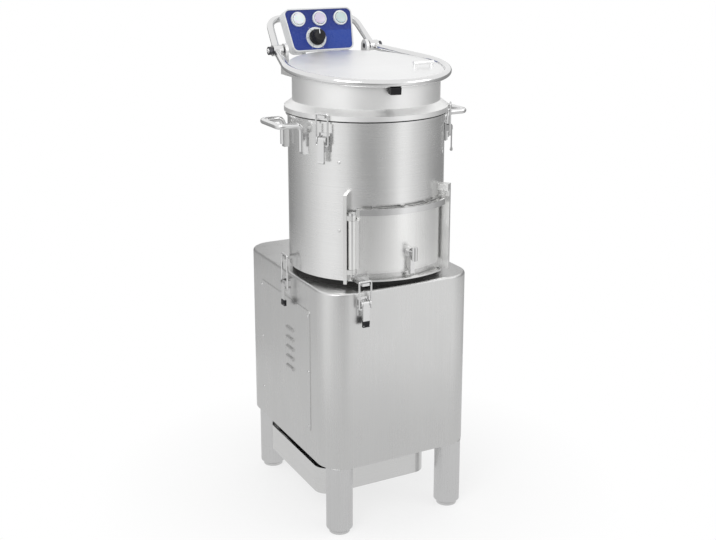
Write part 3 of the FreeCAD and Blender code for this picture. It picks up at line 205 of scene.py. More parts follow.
def make_floor():
    look = Look("floor_paper", (0.93, 0.93, 0.93), rough=0.9)
    path = look.add("LightPath").outputs
    strength = look.between(path["Is Glossy Ray"], 0, 1, 1.0, FLOOR_MIRRORED)
    glow = look.add("Emission", {"Color": (1, 1, 1, 1), "Strength": strength})
    where = look.place((1, 1, 1))
    far = look.add("VectorMath", {0: where}, operation="LENGTH").outputs["Value"]
    away = look.between(far, FLOOR_NEAR, FLOOR_FAR, FLOOR_NEAR_GLOW, 1.0)
    seen = look.maths("MULTIPLY", path["Is Camera Ray"], away)
    share = look.maths("MAXIMUM", seen, path["Is Glossy Ray"])
    mix = look.add("MixShader", {0: share, 1: look.shader.outputs[0], 2: glow.outputs[0]})
    look.set(look.output, {"Surface": mix.outputs[0]})
    half = FLOOR_HALF
    mesh = bpy.data.meshes.new("floor")
    mesh.from_pydata([(-half, -half, 0), (half, -half, 0), (half, half, 0), (-half, half, 0)],
                     [], [(0, 1, 2, 3)])
    mesh.materials.append(look.material)
    floor = bpy.data.objects.new("floor", mesh)
    bpy.context.scene.collection.objects.link(floor)
    floor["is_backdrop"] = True


def soft_box(name, at, size, energy):
    """A square lamp that faces the middle of the machine."""
    light = bpy.data.lights.new(name, "AREA")
    light.size = size
    light.energy = energy
    lamp = bpy.data.objects.new(name, light)
    lamp.location = at
    lamp.rotation_euler = (Vector((0, 0, 0.6)) - Vector(at)).to_track_quat("-Z", "Y").to_euler()
    bpy.context.scene.collection.objects.link(lamp)


make_world()
make_floor()
soft_box("key_lamp", (-2.0, -1.6, 2.3), 1.4, 22)
soft_box("fill_lamp", (1.9, -1.8, 1.7), 1.6, 12)
print("sky at", SKY_LIGHT, "and two soft lamps")

# %% The ring reflector
RING_RADIUS = 0.95
RING_LOW = 2 * MM
RING_HIGH = 1.05
RING_SIDES = 72
# Brightness by direction round the machine, in degrees from the camera, plus to the right.
# The high part of the wall is mirrored in the drum, the low part in the cabinet.
HIGH_TONES = ((-180, 0.95), (-158, 0.40), (-143, 0.26), (-128, 0.32), (-104, 0.44), (-86, 0.60),
              (-70, 0.76), (-56, 0.90), (-40, 0.95), (-27, 0.84), (-14, 0.58), (-4, 0.42),
              (10, 0.40), (24, 0.52), (34, 0.70), (46, 1.0), (56, 0.92), (66, 0.74),
              (84, 0.56), (96, 0.42), (118, 0.32), (140, 0.28), (160, 0.5), (180, 0.95))
LOW_TONES = ((-180, 0.70), (-140, 0.52), (-120, 0.60), (-90, 0.70), (-50, 0.92), (-20, 0.78),
             (10, 0.70), (35, 0.84), (60, 0.92), (90, 0.76), (140, 0.5), (180, 0.70))
TONES_MEET = (0.26, 0.38)


def tone_ramp(look, share, tones):
    """A colour ramp that holds the brightness of the wall all the way round."""
    ramp = look.add("ValToRGB", {"Fac": share})
    ramp.color_ramp.interpolation = "EASE"
    marks = ramp.color_ramp.elements
    for index, (angle, tone) in enumerate(tones):
        place = (angle + 180) / 360
        mark = marks[index] if index < 2 else marks.new(place)
        mark.position = place
        mark.color = (tone, tone, tone, 1)
    return ramp.outputs[0]


def make_ring():
    """A wall of soft light, seen only by reflections."""
    look = Look("soft_box_wall")
    east, north, up = look.add("SeparateXYZ", {0: look.place((1, 1, 1))}).outputs
    round_angle = look.maths("ARCTAN2", east, look.maths("MULTIPLY", north, -1.0))
    turned = look.maths("SUBTRACT", round_angle, math.atan2(CAMERA_AT[0], -CAMERA_AT[1]))
    wrapped = look.maths("WRAP", turned, math.pi)
    look.tree.nodes[-1].inputs[2].default_value = -math.pi
    share = look.between(wrapped, -math.pi, math.pi, 0, 1)
    height = look.between(up, *TONES_MEET, 0, 1)
    tone = look.blend(height, tone_ramp(look, share, LOW_TONES),
                      tone_ramp(look, share, HIGH_TONES))
    glow = look.add("Emission", {"Color": tone, "Strength": 1.0})
    look.set(look.output, {"Surface": glow.outputs[0]})
    rim = [(RING_RADIUS * math.cos(a), RING_RADIUS * math.sin(a))
           for a in (2 * math.pi * side / RING_SIDES for side in range(RING_SIDES))]
    points = [(x, y, RING_LOW) for x, y in rim] + [(x, y, RING_HIGH) for x, y in rim]
    faces = [(side, (side + 1) % RING_SIDES, RING_SIDES + (side + 1) % RING_SIDES,
              RING_SIDES + side) for side in range(RING_SIDES)]
    mesh = bpy.data.meshes.new("ring_reflector")
    mesh.from_pydata(points, [], faces)
    mesh.materials.append(look.material)
    wall = bpy.data.objects.new("ring_reflector", mesh)
    bpy.context.scene.collection.objects.link(wall)
    wall.visible_camera = False
    wall.visible_diffuse = False
    wall.visible_shadow = False
    wall.visible_transmission = False
    wall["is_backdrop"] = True


make_ring()
print("ring reflector with", len(HIGH_TONES) + len(LOW_TONES), "tones")

# %% [markdown]
# ## Steel, four ways
# The sheet of cabinet and drum is brushed: thousands of fine scratches, all one way. Noise
# stretched a hundred times along one axis gives them, as a tiny bump and as small changes of
# roughness. The tubes are polished, the legs are dull, and the hood is cast aluminium, which
# has no grain but a fine blotchy satin. Edges that hands and cloths reach are rubbed brighter.

# %% Edge wear
WEAR_WIDE = 1.2 * MM


def edge_wear(look, strength=1.0):
    """1 on worn edges, 0 on flat faces: where a rounded normal departs from the true one."""
    soft = look.add("Bevel", {"Radius": WEAR_WIDE}, samples=4).outputs[0]
    true = look.add("NewGeometry").outputs["True Normal"]
    same = look.add("VectorMath", {0: soft, 1: true}, operation="DOT_PRODUCT").outputs["Value"]
    patchy = look.noise((60, 60, 60), 4.0, 0.4, 1.0)
    worn = look.between(same, 0.995, 0.8, 0.0, strength)
    return look.maths("MULTIPLY", worn, patchy)


print("edges wear over", WEAR_WIDE, "m")

# %% Brushed and polished metal
GRAIN_FINE = 1500
GRAIN_LONG = 9


def metal(name, colour, rough, grain=None, depth=0.00002, wear=0.6, blotch=0.03, spread=0.07):
    """A metal. grain is the axis that its scratches run along, or None for cast or polished."""
    look = Look(name, colour, 1.0, rough)
    scale = [GRAIN_FINE] * 3
    if grain is not None:
        for axis in grain:
            scale["xyz".index(axis)] = GRAIN_LONG
    scratch = look.noise(scale, 4.0)
    streak = look.noise([amount / 2.5 for amount in scale], 2.0)
    cloud = look.noise((7, 7, 5), 3.0)
    smear = look.noise((22, 22, 14), 5.0)
    dull = tuple(channel * (1 - 2 * blotch) for channel in colour)
    tone = look.blend(look.maths("MULTIPLY", look.maths("ADD", cloud, streak), 0.5), dull, colour)
    bright = tuple(min(1.0, channel * 1.08) for channel in colour)
    edge = edge_wear(look, wear)
    look.set(look.shader, {"Base Color": look.blend(edge, tone, bright)})
    varied = look.between(look.maths("ADD", scratch, smear), 0, 2, rough - spread, rough + spread)
    smooth = look.maths("SUBTRACT", varied, look.maths("MULTIPLY", edge, rough * 0.3))
    look.set(look.shader, {"Roughness": smooth,
                           "Normal": look.bump(scratch, depth, 0.5)})
    return look.material


sheet_steel = metal("cabinet_sheet", (0.73, 0.73, 0.725), 0.30, "z")
drum_steel = metal("drum_sheet", (0.83, 0.83, 0.825), 0.24, "xy")
# The door's steel is the drum's steel painted brighter: a painted highlight on the door
door_steel_painted_highlight = metal("door_sheet_painted_highlight", (0.93, 0.93, 0.92), 0.30, "z")
lid_steel = metal("lid_sheet", (0.90, 0.90, 0.90), 0.42, "x")
bright_steel = metal("polished_tube", (0.78, 0.78, 0.78), 0.13, None, 0.000004, spread=0.05)
leg_steel = metal("dull_leg_tube", (0.76, 0.76, 0.76), 0.30, "z")
cast_metal = metal("satin_casting", (0.91, 0.91, 0.905), 0.42, None, 0.00006, 0.4, 0.02)
dark_metal = metal("painted_dark_steel", (0.10, 0.10, 0.11), 0.38, None, 0.00006)
zinc_metal = metal("zinc_plate", (0.62, 0.64, 0.66), 0.36, None, 0.00003, 0.5, 0.09)
print("nine metals")

# %% [markdown]
# ## Plastic, rubber and grit
# The knob is hard black plastic, the rings are white. Moulded plastic has a very fine orange
# peel, a soft gloss, and paler edges. Rubber is dull and a little dusty. The disc and the
# drum's lining carry stone grit, which is a crowd of small sharp bumps in two greys.

# %% Moulded plastic and rubber
def moulded(name, colour, rough=0.32, peel=0.00002, coat=0.0, glow=0.0, shine=0.5):
    look = Look(name, colour, 0.0, rough)
    cloud = look.noise((30, 30, 30), 3.0)
    pale = tuple(channel + (0.9 - channel) * 0.10 for channel in colour)
    deep = tuple(channel * 0.9 for channel in colour)
    edge = edge_wear(look, 0.7)
    body = look.blend(cloud, deep, colour)
    look.set(look.shader, {"Base Color": look.blend(edge, body, pale),
                           "Roughness": look.noise((90, 90, 90), 3.0, rough - 0.06, rough + 0.08),
                           "Normal": look.bump(look.noise((1200, 1200, 1200), 2.0), peel, 0.6),
                           "Specular IOR Level": shine,
                           "Coat Weight": coat, "Subsurface Weight": glow,
                           "Subsurface Scale": 0.004})
    return look.material


def rubber(name, colour):
    look = Look(name, colour, 0.0, 0.7)
    dust = look.noise((40, 40, 40), 6.0, 0.0, 0.2)
    look.set(look.shader, {"Base Color": look.blend(dust, colour, (0.09, 0.085, 0.08)),
                           "Specular IOR Level": 0.2,
                           "Roughness": look.noise((15, 15, 15), 3.0, 0.55, 0.8),
                           "Normal": look.bump(look.noise((900, 900, 900), 3.0), 0.00004, 0.7)})
    return look.material


black_plastic = moulded("black_knob_plastic", (0.012, 0.012, 0.014), 0.38, shine=0.22)
box_plastic = moulded("pale_box_plastic", (0.78, 0.79, 0.80), 0.36)
grey_plastic = moulded("grey_pipe_plastic", (0.35, 0.36, 0.37), 0.45)
ring_plastic = moulded("white_ring_plastic", (0.86, 0.89, 0.90), 0.25, coat=0.4)
lamp_lens = moulded("clear_lens_plastic", (0.88, 0.94, 0.95), 0.16, coat=0.8, glow=0.3)
stop_lens = moulded("rose_lens_plastic", (0.68, 0.62, 0.78), 0.16, coat=0.8, glow=0.3)
start_lens = moulded("mint_lens_plastic", (0.60, 0.72, 0.72), 0.16, coat=0.8, glow=0.3)
# Black rubber for the seals and the belt; on the drum ring and the door gasket its black is also
# painted shade
black_rubber_and_painted_shade = rubber("black_seal_rubber_and_painted_shade", (0.02, 0.02, 0.02))
print("eight plastics and rubbers")

# %% Grit and the blue panel
GRIT_SIZE = 1.6 * MM


def gritty(name, stone, binder):
    """Coarse grit: each cell of a Voronoi pattern is one grain with its own height and grey."""
    look = Look(name, stone, 0.0, 0.85)
    grain = look.add("TexVoronoi", {"Vector": look.place((1, 1, 1)), "Scale": 1 / GRIT_SIZE,
                                    "Randomness": 1.0})
    own = look.add("SeparateColor", {0: grain.outputs["Color"]}).outputs[0]
    hill = look.between(grain.outputs["Distance"], 0.0, 0.7, 1.0, 0.0)
    height = look.maths("MULTIPLY", hill, look.between(own, 0, 1, 0.4, 1.0))
    wet = look.noise((12, 12, 12), 4.0)
    tone = look.blend(own, binder, stone)
    look.set(look.shader, {"Base Color": look.blend(look.maths("MULTIPLY", wet, 0.4), tone, binder),
                           "Roughness": look.between(own, 0, 1, 0.6, 0.95),
                           "Normal": look.bump(height, 0.0006)})
    return look.material


# The first blue below is the colour of the panel's painted shade at its top and left
PANEL_SHADE_BLUE = (0.012, 0.022, 0.16)
PANEL_BLUE = (0.016, 0.045, 0.30)
PANEL_FIELD = (0.022, 0.065, 0.36)


def printed_panel():
    """Blue foil, darker at its top and left with painted shade, and one plain brighter field at the
    lower right.
    """
    look = Look("blue_panel_foil", PANEL_BLUE, 0.0, 0.35)
    across, _, up = look.add("SeparateXYZ", {0: look.place((1, 1, 1))}).outputs
    # Painted shade: the foil darkens towards its top and towards its left
    rise = look.between(up, 1.000, 1.062, 0.0, 1.0)
    side = look.between(across, 0.0, -0.075, 0.0, 0.2)
    painted_shade = look.maths("MAXIMUM", rise, side)
    right = look.between(across, 0.010, 0.012, 0.0, 1.0)
    under = look.between(up, 1.021, 1.019, 0.0, 1.0)
    field = look.maths("MULTIPLY", right, under)
    blue = look.blend(look.maths("MULTIPLY", painted_shade, 0.75), PANEL_BLUE, PANEL_SHADE_BLUE)
    blue = look.blend(look.maths("MULTIPLY", field, 0.8), blue, PANEL_FIELD)
    speck = look.noise((400, 400, 400), 4.0, 0.0, 0.06)
    look.set(look.shader, {"Base Color": look.blend(speck, blue, (0.5, 0.55, 0.7)),
                           "Roughness": look.noise((60, 60, 60), 3.0, 0.26, 0.42),
                           "Normal": look.bump(look.noise((1500, 1500, 1500), 2.0), 0.00002),
                           "Specular IOR Level": 0.2})
    return look.material


disc_grit = gritty("disc_grit", (0.30, 0.29, 0.27), (0.09, 0.085, 0.08))
wall_grit = gritty("lining_grit", (0.38, 0.37, 0.35), (0.15, 0.145, 0.14))
panel_blue = printed_panel()
print("grit grains of", GRIT_SIZE, "m and a blue foil")

# %% [markdown]
# ## Which piece wears what
# One table says which finish each engineering piece takes. Only the material slot is
# changed, so every piece keeps its place and its form.

# %% Dress the engineering pieces
FINISHES = {
    sheet_steel: ("cabinet_shell", "side_cover", "base_plate"),
    drum_steel: ("drum_shell", "drum_floor", "chute_lip", "filter_basket", "waste_pipe",
                 "filter_drawer"),
    door_steel_painted_highlight: ("door_panel", "door_posts"),
    lid_steel: ("lid_disc",),
    bright_steel: ("lid_frame", "carry_handles", "door_bar", "door_hinge_pin", "door_latch",
                   "clamp_bases", "clamp_catches", "drive_shaft", "bearings", "water_inlet"),
    leg_steel: ("legs", "feet"),
    cast_metal: ("hood_casting", "driven_pulley", "motor_pulley"),
    dark_metal: ("motor", "hinge_pins"),
    zinc_metal: ("motor_plate", "drawer_rails", "bearing_housing"),
    black_plastic: ("timer_knob", "cable_gland", "switch_blocks", "lid_magnet"),
    box_plastic: ("control_box",),
    grey_plastic: ("wiring_conduit",),
    ring_plastic: ("bezel_rings",),
    lamp_lens: ("lamp_button",),
    stop_lens: ("stop_button",),
    start_lens: ("start_button",),
    # The drum ring and door gasket are rubber whose black also stands in for shade: painted shade
    # at the drum's foot and under the door
    black_rubber_and_painted_shade: ("drum_ring", "hood_gasket", "door_gasket", "shaft_seal", "drive_belt"),
    disc_grit: ("abrasive_disc",),
    wall_grit: ("abrasive_liner",),
    panel_blue: ("control_panel",),
}


def dress(node, material):
    for holder in NODES[node].material_slots:
        holder.material = material


for material, names in FINISHES.items():
    for name in names:
        dress(name, material)
for name in NODES:
    if name.endswith(("_lever", "_loop")):
        dress(name, bright_steel)
bare = [name for name, piece in NODES.items() if len(piece.material_slots) != 1]
print(len(FINISHES), "finishes; pieces with an odd number of slots:", bare)


# %% [markdown]
# ## Tools for small turned things
# Screw heads, buttons and rings are all turned shapes: a short outline of radius and height,
# spun round an axis. One function turns an outline and stands it on any point, facing any way.

# %% A lathe
TURNS = 48


def facing(direction):
    """The rotation that stands +Z along a direction."""
    return Vector(direction).normalized().to_track_quat("Z", "Y").to_matrix().to_4x4()


def add_piece(name, mesh, body, finish, smooth=True):
    """Makes a piece of the machine from a finished mesh."""
    mesh.materials.append(finish)
    mesh.polygons.foreach_set("use_smooth", [smooth] * len(mesh.polygons))
    piece = bpy.data.objects.new(name, mesh)
    bpy.context.scene.collection.objects.link(piece)
    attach(piece, body)
    return piece


def turned(outline, at, direction, turns=TURNS, wave=None, hollow=False):
    """Points and faces of an outline of (radius, height) spun round a direction from a point.

    A hollow one is a ring: its outline goes all the way round and it has no ends to close.
    """
    stand = Matrix.Translation(Vector(at)) @ facing(direction)
    points = []
    for index, (radius, height) in enumerate(outline):
        for turn in range(turns):
            angle = 2 * math.pi * turn / turns
            reach = radius * (wave(index, angle) if wave else 1)
            points.append(stand @ Vector((reach * math.cos(angle), reach * math.sin(angle),
                                          height)))
    count = len(outline)
    faces = []
    for row in range(count if hollow else count - 1):
        low, high = row * turns, (row + 1) % count * turns
        for turn in range(turns):
            beside = (turn + 1) % turns
            faces.append((low + turn, low + beside, high + beside, high + turn))
    if not hollow:
        last = (count - 1) * turns
        faces.append(tuple(range(turns))[::-1])
        faces.append(tuple(range(last, last + turns)))
    return points, faces


def joined(shapes):
    """One mesh from several sets of points and faces."""
    points, faces = [], []
    for some_points, some_faces in shapes:
        start = len(points)
        points.extend(some_points)
        faces.extend(tuple(index + start for index in face) for face in some_faces)
    mesh = bpy.data.meshes.new("made")
    mesh.from_pydata([tuple(point) for point in points], [], faces)
    mesh.validate()
    return mesh


def sharpened(piece, angle=35):
    """Keeps edges crisp where faces meet at more than an angle, and smooth elsewhere."""
    limit = math.radians(angle)
    mesh = piece.data
    beside = {}
    for face in mesh.polygons:
        for key in face.edge_keys:
            beside.setdefault(key, []).append(face.normal)
    for edge in mesh.edges:
        normals = beside.get(tuple(sorted(edge.vertices)), [])
        if len(normals) == 2:
            edge.use_edge_sharp = normals[0].angle(normals[1], 0) > limit
    return piece


print("lathe ready with", TURNS, "sides")

# %% [markdown]
# ## Screws and rivets
# A pan-head screw is a flat dome with a cross cut into it. Here the cross is a shallow star
# in the dome's middle: the outline dips, and a wave makes the dip four-armed.

# %% Screw and rivet heads
def dome(radius, high, rows=5):
    """The outline of a low dome, from its foot to its middle."""
    outline = [(radius, -0.3 * high), (radius, 0.12 * high)]
    for row in range(1, rows):
        angle = math.pi / 2 * row / rows
        outline.append((radius * math.cos(angle), high * (0.12 + 0.88 * math.sin(angle))))
    return outline


def slab(at, along, across, out, long, wide, high):
    """A thin bar on a face, its long side from a point outward, with chamfered top edges."""
    trim = min(wide, high) * 0.25
    rows = ((wide / 2, 0, 0), (wide / 2, 0, high - trim), (wide / 2 - trim, trim, high))
    points = []
    for half, pull, rise in rows:
        for end, side in ((pull, -half), (long - pull, -half), (long - pull, half), (pull, half)):
            points.append(Vector(at) + along * end + across * side + out * rise)
    faces = [(3, 2, 1, 0), (8, 9, 10, 11)]
    for row in (0, 4):
        for side in range(4):
            beside = (side + 1) % 4
            faces.append((row + side, row + beside, row + beside + 4, row + side + 4))
    return points, faces


def rivet(at, direction, radius, high):
    return turned(dome(radius, high) + [(radius * 0.02, high)], at, direction, 24)


def screw(at, direction, radius, high):
    """A pan head with a cross recess."""
    rim = len(dome(radius, high))
    outline = dome(radius, high) + [(radius * 0.52, high * 0.98), (radius * 0.46, high * 0.35),
                                    (radius * 0.02, high * 0.30)]

    def cross(index, angle):
        if index <= rim:
            return 1.0
        return 0.38 + 0.62 * abs(math.cos(2 * angle)) ** 3

    return turned(outline, at, direction, 32, cross)


print("rivet outline has", len(dome(1, 1)) + 1, "points")

# %% Drum rivets and seam
AXIS_Y = JOINTS["rotor_spin"]["pos_m"][1]
drum_low, drum_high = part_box("drum_shell")
WALL_RADIUS = 165 * MM
RIVET_TURN = -47
RIVET_HEIGHTS = (792 * MM, 652 * MM)
RIVET_RADIUS = 3.4 * MM


def on_drum(turn, height, out=0.0):
    """A point on the drum's wall, and the way it faces; turn is in degrees from the front."""
    angle = math.radians(turn)
    way = Vector((math.sin(angle), -math.cos(angle), 0))
    reach = WALL_RADIUS + out
    return Vector((0, AXIS_Y, height)) + way * reach, way


shapes = []
for turn in (RIVET_TURN, -RIVET_TURN, 180 + RIVET_TURN, 180 - RIVET_TURN):
    for height in RIVET_HEIGHTS:
        shapes.append(rivet(*on_drum(turn, height), RIVET_RADIUS, 1.4 * MM))
add_piece("drum_rivets", joined(shapes), "stand", bright_steel)
print(len(shapes), "rivets hold the lining")


# %% [markdown]
# ## Seams
# The drum is one rolled sheet, welded down its back and ground nearly flat. Its foot is
# tacked to the black ring. A weld is a row of small overlapping ripples, so it is a tube whose
# radius rises and falls along its path.

# %% Weld beads
RIPPLE = 2.2 * MM
LEG_RADIUS = 28.2 * MM


def bead(path, radius, ways, closed=False, sides=8):
    """A rippled tube along a path; ways are the outward directions at its points."""
    count = len(path)
    points, faces = [], []
    for index, (centre, out) in enumerate(zip(path, ways)):
        ahead = path[(index + 1) % count] if closed or index < count - 1 else centre
        behind = path[index - 1] if closed or index else centre
        along = (Vector(ahead) - Vector(behind)).normalized()
        aside = along.cross(out).normalized()
        swell = radius * (1.12 if index % 2 else 0.92)
        for side in range(sides):
            angle = 2 * math.pi * side / sides
            points.append(Vector(centre) + swell * (out * 0.45 * math.sin(angle)
                                                    + aside * math.cos(angle)))
    rows = count if closed else count - 1
    for row in range(rows):
        after = (row + 1) % count
        for side in range(sides):
            beside = (side + 1) % sides
            faces.append((row * sides + side, row * sides + beside, after * sides + beside,
                          after * sides + side))
    if not closed:
        faces.append(tuple(range(sides))[::-1])
        faces.append(tuple(range((count - 1) * sides, count * sides)))
    return points, faces


def drum_seam():
    steps = int((drum_high.z - drum_low.z - 12 * MM) / RIPPLE)
    spots = [on_drum(180, drum_low.z + 2 * MM + step * RIPPLE) for step in range(steps)]
    return bead([spot for spot, _ in spots], 1.5 * MM, [way for _, way in spots])


def leg_welds():
    """A bead round the top of each leg, where it meets the cabinet's base."""
    low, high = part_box("legs")
    radius = LEG_RADIUS
    shapes = []
    for x in (low.x + radius, high.x - radius):
        for y in (low.y + radius, high.y - radius):
            steps = int(2 * math.pi * radius / RIPPLE)
            ways = [Vector((math.cos(a), math.sin(a), 0))
                    for a in (2 * math.pi * step / steps for step in range(steps))]
            path = [Vector((x, y, high.z - 1.2 * MM)) + way * radius for way in ways]
            shapes.append(bead(path, 1.4 * MM, ways, closed=True))
    return shapes


add_piece("drum_seam", joined([drum_seam()]), "stand", drum_steel)
add_piece("leg_welds", joined(leg_welds()), "stand", leg_steel)
print("seam of", int((drum_high.z - drum_low.z) / RIPPLE), "ripples")

# %% [markdown]
# ## Fittings at the back and sides
# The water pipe has ridges that hold a hose, the cable's gland has a six-sided nut and a ribbed
# cap, and the lid's hinge pins have screwed heads.

# %% Hose ridges, gland nut and hinge screws
INLET_TURN = 150
INLET_HIGH = drum_high.z + 42 * MM
INLET_RADIUS = 10.5 * MM
RIDGES_OUT = (14 * MM, 19.5 * MM, 25 * MM)
GLAND_RADIUS = 11 * MM


def hose_ridges():
    outline = [(INLET_RADIUS - 0.3 * MM, -1.6 * MM), (INLET_RADIUS + 0.6 * MM, -1.4 * MM),
               (INLET_RADIUS + 0.1 * MM, 1.8 * MM), (INLET_RADIUS - 0.3 * MM, 1.8 * MM)]
    return [turned(outline, *on_drum(INLET_TURN, INLET_HIGH, out), hollow=True)
            for out in RIDGES_OUT]


def gland_nut():
    """A six-sided nut against the wall, and a cap with ribs for the fingers."""
    low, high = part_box("cable_gland")
    middle = (low + high) / 2
    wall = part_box("cabinet_shell")[1].x
    inner = GLAND_RADIUS - 0.1 * MM
    outline = [(inner, 0), (14.5 * MM, 0), (14.5 * MM, 4.6 * MM), (13.8 * MM, 5.4 * MM),
               (12.4 * MM, 5.5 * MM), (12.8 * MM, 6.2 * MM), (12.8 * MM, 15 * MM),
               (12.0 * MM, 17.2 * MM), (inner, 18.2 * MM)]

    def shape(row, angle):
        if 1 <= row <= 3:
            sixth = math.pi / 3
            return math.cos(sixth / 2) / math.cos(angle % sixth - sixth / 2)
        if 5 <= row <= 6:
            return 1 - 0.05 * (0.5 - 0.5 * math.cos(16 * angle)) ** 2
        return 1.0

    return turned(outline, (wall, middle.y, middle.z), (1, 0, 0), 96, shape, hollow=True)


def hinge_screws():
    low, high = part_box("hinge_pins")
    pivot = JOINTS["lid_hinge"]["pos_m"]
    return [screw((x, pivot[1], pivot[2]), way, 5.5 * MM, 2.4 * MM)
            for x, way in ((low.x, (-1, 0, 0)), (high.x, (1, 0, 0)))]


add_piece("hose_ridges", joined(hose_ridges()), "stand", bright_steel)
sharpened(add_piece("gland_nut", joined([gland_nut()]), "stand", black_plastic))
add_piece("hinge_screws", joined(hinge_screws()), "stand", bright_steel)
print("three ridges, one nut and two hinge screws")

# %% [markdown]
# ## The side cover's screws
# The cover on the left side comes off to reach the belt. Small pan-head screws hold it, three up
# each edge, set in from the corners.

# %% Cover screws
cover_low, cover_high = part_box("side_cover")
COVER_THICK = 1.2 * MM
SCREW_INSET = 7 * MM
shapes = []
for y in (cover_low.y + SCREW_INSET, cover_high.y - SCREW_INSET):
    for share in (0.04, 0.5, 0.96):
        z = cover_low.z + share * (cover_high.z - cover_low.z)
        shapes.append(screw((cover_high.x - COVER_THICK, y, z), (-1, 0, 0), 3.4 * MM, 1.7 * MM))
add_piece("cover_screws", joined(shapes), "stand", bright_steel)
print(len(shapes), "screws hold the side cover")

# %% [markdown]
# ## The clamps' grips
# The three clamps at the drum's foot have a black sleeve on the end of the lever. Each one rides
# on its own lever, and it faces away from the wall that the lever hinges on.

# %% Clamp grips
GRIP_LONG = 13 * MM
GRIP_WIDE = 15 * MM
GRIP_THICK = 6.8 * MM
GRIP_BELOW = 0.4 * MM
GRIP_CLEAR = 0.1 * MM
CLAMPS = ("drum_front", "drum_left", "drum_right")


def clamp_grip(name):
    """A moulded sleeve over the end of a clamp's lever."""
    joint = JOINTS[name + "_open"]
    axis = Vector(joint["axis"])
    out = Vector((-axis.y, axis.x, 0))
    pivot = Vector(joint["pos_m"])
    low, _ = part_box(name + "_lever")
    start = Vector((pivot.x, pivot.y, low.z - GRIP_BELOW)) + out * GRIP_CLEAR
    return slab(start, Vector((0, 0, 1)), axis, out, GRIP_LONG, GRIP_WIDE, GRIP_THICK)


for name in CLAMPS:
    add_piece(name + "_grip", joined([clamp_grip(name)]), name + "_lever", black_plastic,
              False)
print(len(CLAMPS), "clamps have black grips")

# %% [markdown]
# ## The control face
# Three round push buttons stand in white rings, over a black timer knob. All of them point
# along the face's own normal, which the record gives as the way that a button is pressed.

# %% Face directions
PRESS = Vector(JOINTS["stop_press"]["axis"])
OUT = -PRESS
ACROSS = Vector((1, 0, 0))
UP = OUT.cross(ACROSS).normalized()


def centre_of(node):
    low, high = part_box(node)
    return (low + high) / 2


def face_points(node):
    """How far a node reaches along the face's normal, from its box's middle."""
    centre = centre_of(node)
    reach = [(vertex.co - centre).dot(OUT) for vertex in NODES[node].data.vertices]
    return centre, min(reach), max(reach)


print("buttons face", [round(amount, 3) for amount in OUT])

# %% Domed buttons
BUTTON_RADIUS = 13 * MM


def domed_button(node, finish):
    """A lens with a rounded rim, a flat ring and a low dome, on its stem."""
    centre, back, front = face_points(node)
    spread = [vertex.co for vertex in NODES[node].data.vertices]
    tops = [co for co in spread if (co - centre).dot(OUT) > front - 0.1 * MM]
    middle = sum(tops, Vector()) / len(tops)
    deep = front - back
    r = BUTTON_RADIUS
    outline = [(6 * MM, -deep), (6 * MM, -9 * MM), (r - 0.2 * MM, -9 * MM),
               (r - 0.2 * MM, -1.6 * MM), (r - 0.5 * MM, -0.9 * MM), (r - 1.2 * MM, -0.45 * MM),
               (r - 2.0 * MM, -0.4 * MM), (r - 2.6 * MM, -0.9 * MM), (r - 3.2 * MM, -0.7 * MM)]
    for step in range(1, 7):
        angle = math.pi / 2 * step / 6
        outline.append(((r - 3.2 * MM) * math.cos(angle) + 0.05 * MM,
                        -0.7 * MM + 0.7 * MM * math.sin(angle)))
    piece = add_piece(node + "_lens", joined([turned(outline, middle, OUT, 56)]), node, finish)
    sharpened(piece, 50)
    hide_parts(node)
    return middle


spots = {}
for node, finish, slot_name in (("lamp_button", lamp_lens, "white_plastic"),
                                ("stop_button", stop_lens, "red_plastic"),
                                ("start_button", start_lens, "green_plastic")):
    spots[node] = domed_button(node, finish)
print({node: [round(amount, 4) for amount in spot] for node, spot in spots.items()})

# %% [markdown]
# ## The timer knob
# The real knob is a ribbed cap with a straight white pointer line. Its skirt is round and its
# grip has flutes, which a wave in the lathe's radius makes. The ring under it has ticks, and
# plain numbers for the minutes stand round the ring.

# %% Ribbed knob
FLUTES = 20
KNOB_SKIRT = 18 * MM
KNOB_TOP = 14.2 * MM
KNOB_HIGH = 20 * MM
KNOB_AT = Vector(JOINTS["timer_turn"]["pos_m"])


def make_knob():
    _, back, front = face_points("timer_knob")
    centre = centre_of("timer_knob")
    foot = KNOB_AT + OUT * ((centre - KNOB_AT).dot(OUT) + front - KNOB_HIGH)
    outline = [(3 * MM, back - front + KNOB_HIGH), (3 * MM, 0), (KNOB_SKIRT - 0.4 * MM, 0),
               (KNOB_SKIRT, 0.5 * MM), (KNOB_SKIRT, 2.6 * MM), (KNOB_SKIRT - 0.8 * MM, 3.6 * MM),
               (KNOB_TOP + 0.9 * MM, 4.6 * MM), (KNOB_TOP + 0.5 * MM, 10 * MM),
               (KNOB_TOP, 17.6 * MM), (KNOB_TOP - 0.7 * MM, 19.2 * MM),
               (KNOB_TOP - 2.0 * MM, 19.9 * MM), (KNOB_TOP - 3.4 * MM, 19.9 * MM),
               (KNOB_TOP - 4.2 * MM, 19.3 * MM), (0.1 * MM, 19.1 * MM)]

    def flutes(index, angle):
        if 6 <= index <= 9:
            return 1 - 0.045 * (0.5 - 0.5 * math.cos(FLUTES * angle)) ** 2
        return 1.0

    knob = add_piece("ribbed_knob", joined([turned(outline, foot, OUT, FLUTES * 8, flutes)]),
                     "timer_knob", black_plastic)
    sharpened(knob, 60)
    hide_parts("timer_knob")
    return foot


knob_foot = make_knob()
pointer = slab(knob_foot + OUT * 19.0 * MM + UP * 3 * MM, UP, ACROSS, OUT, 10.2 * MM, 1.8 * MM,
               1.0 * MM)
add_piece("knob_pointer", joined([pointer]), "timer_knob", ring_plastic, False)
print("knob stands", KNOB_HIGH, "m high with", FLUTES, "flutes")

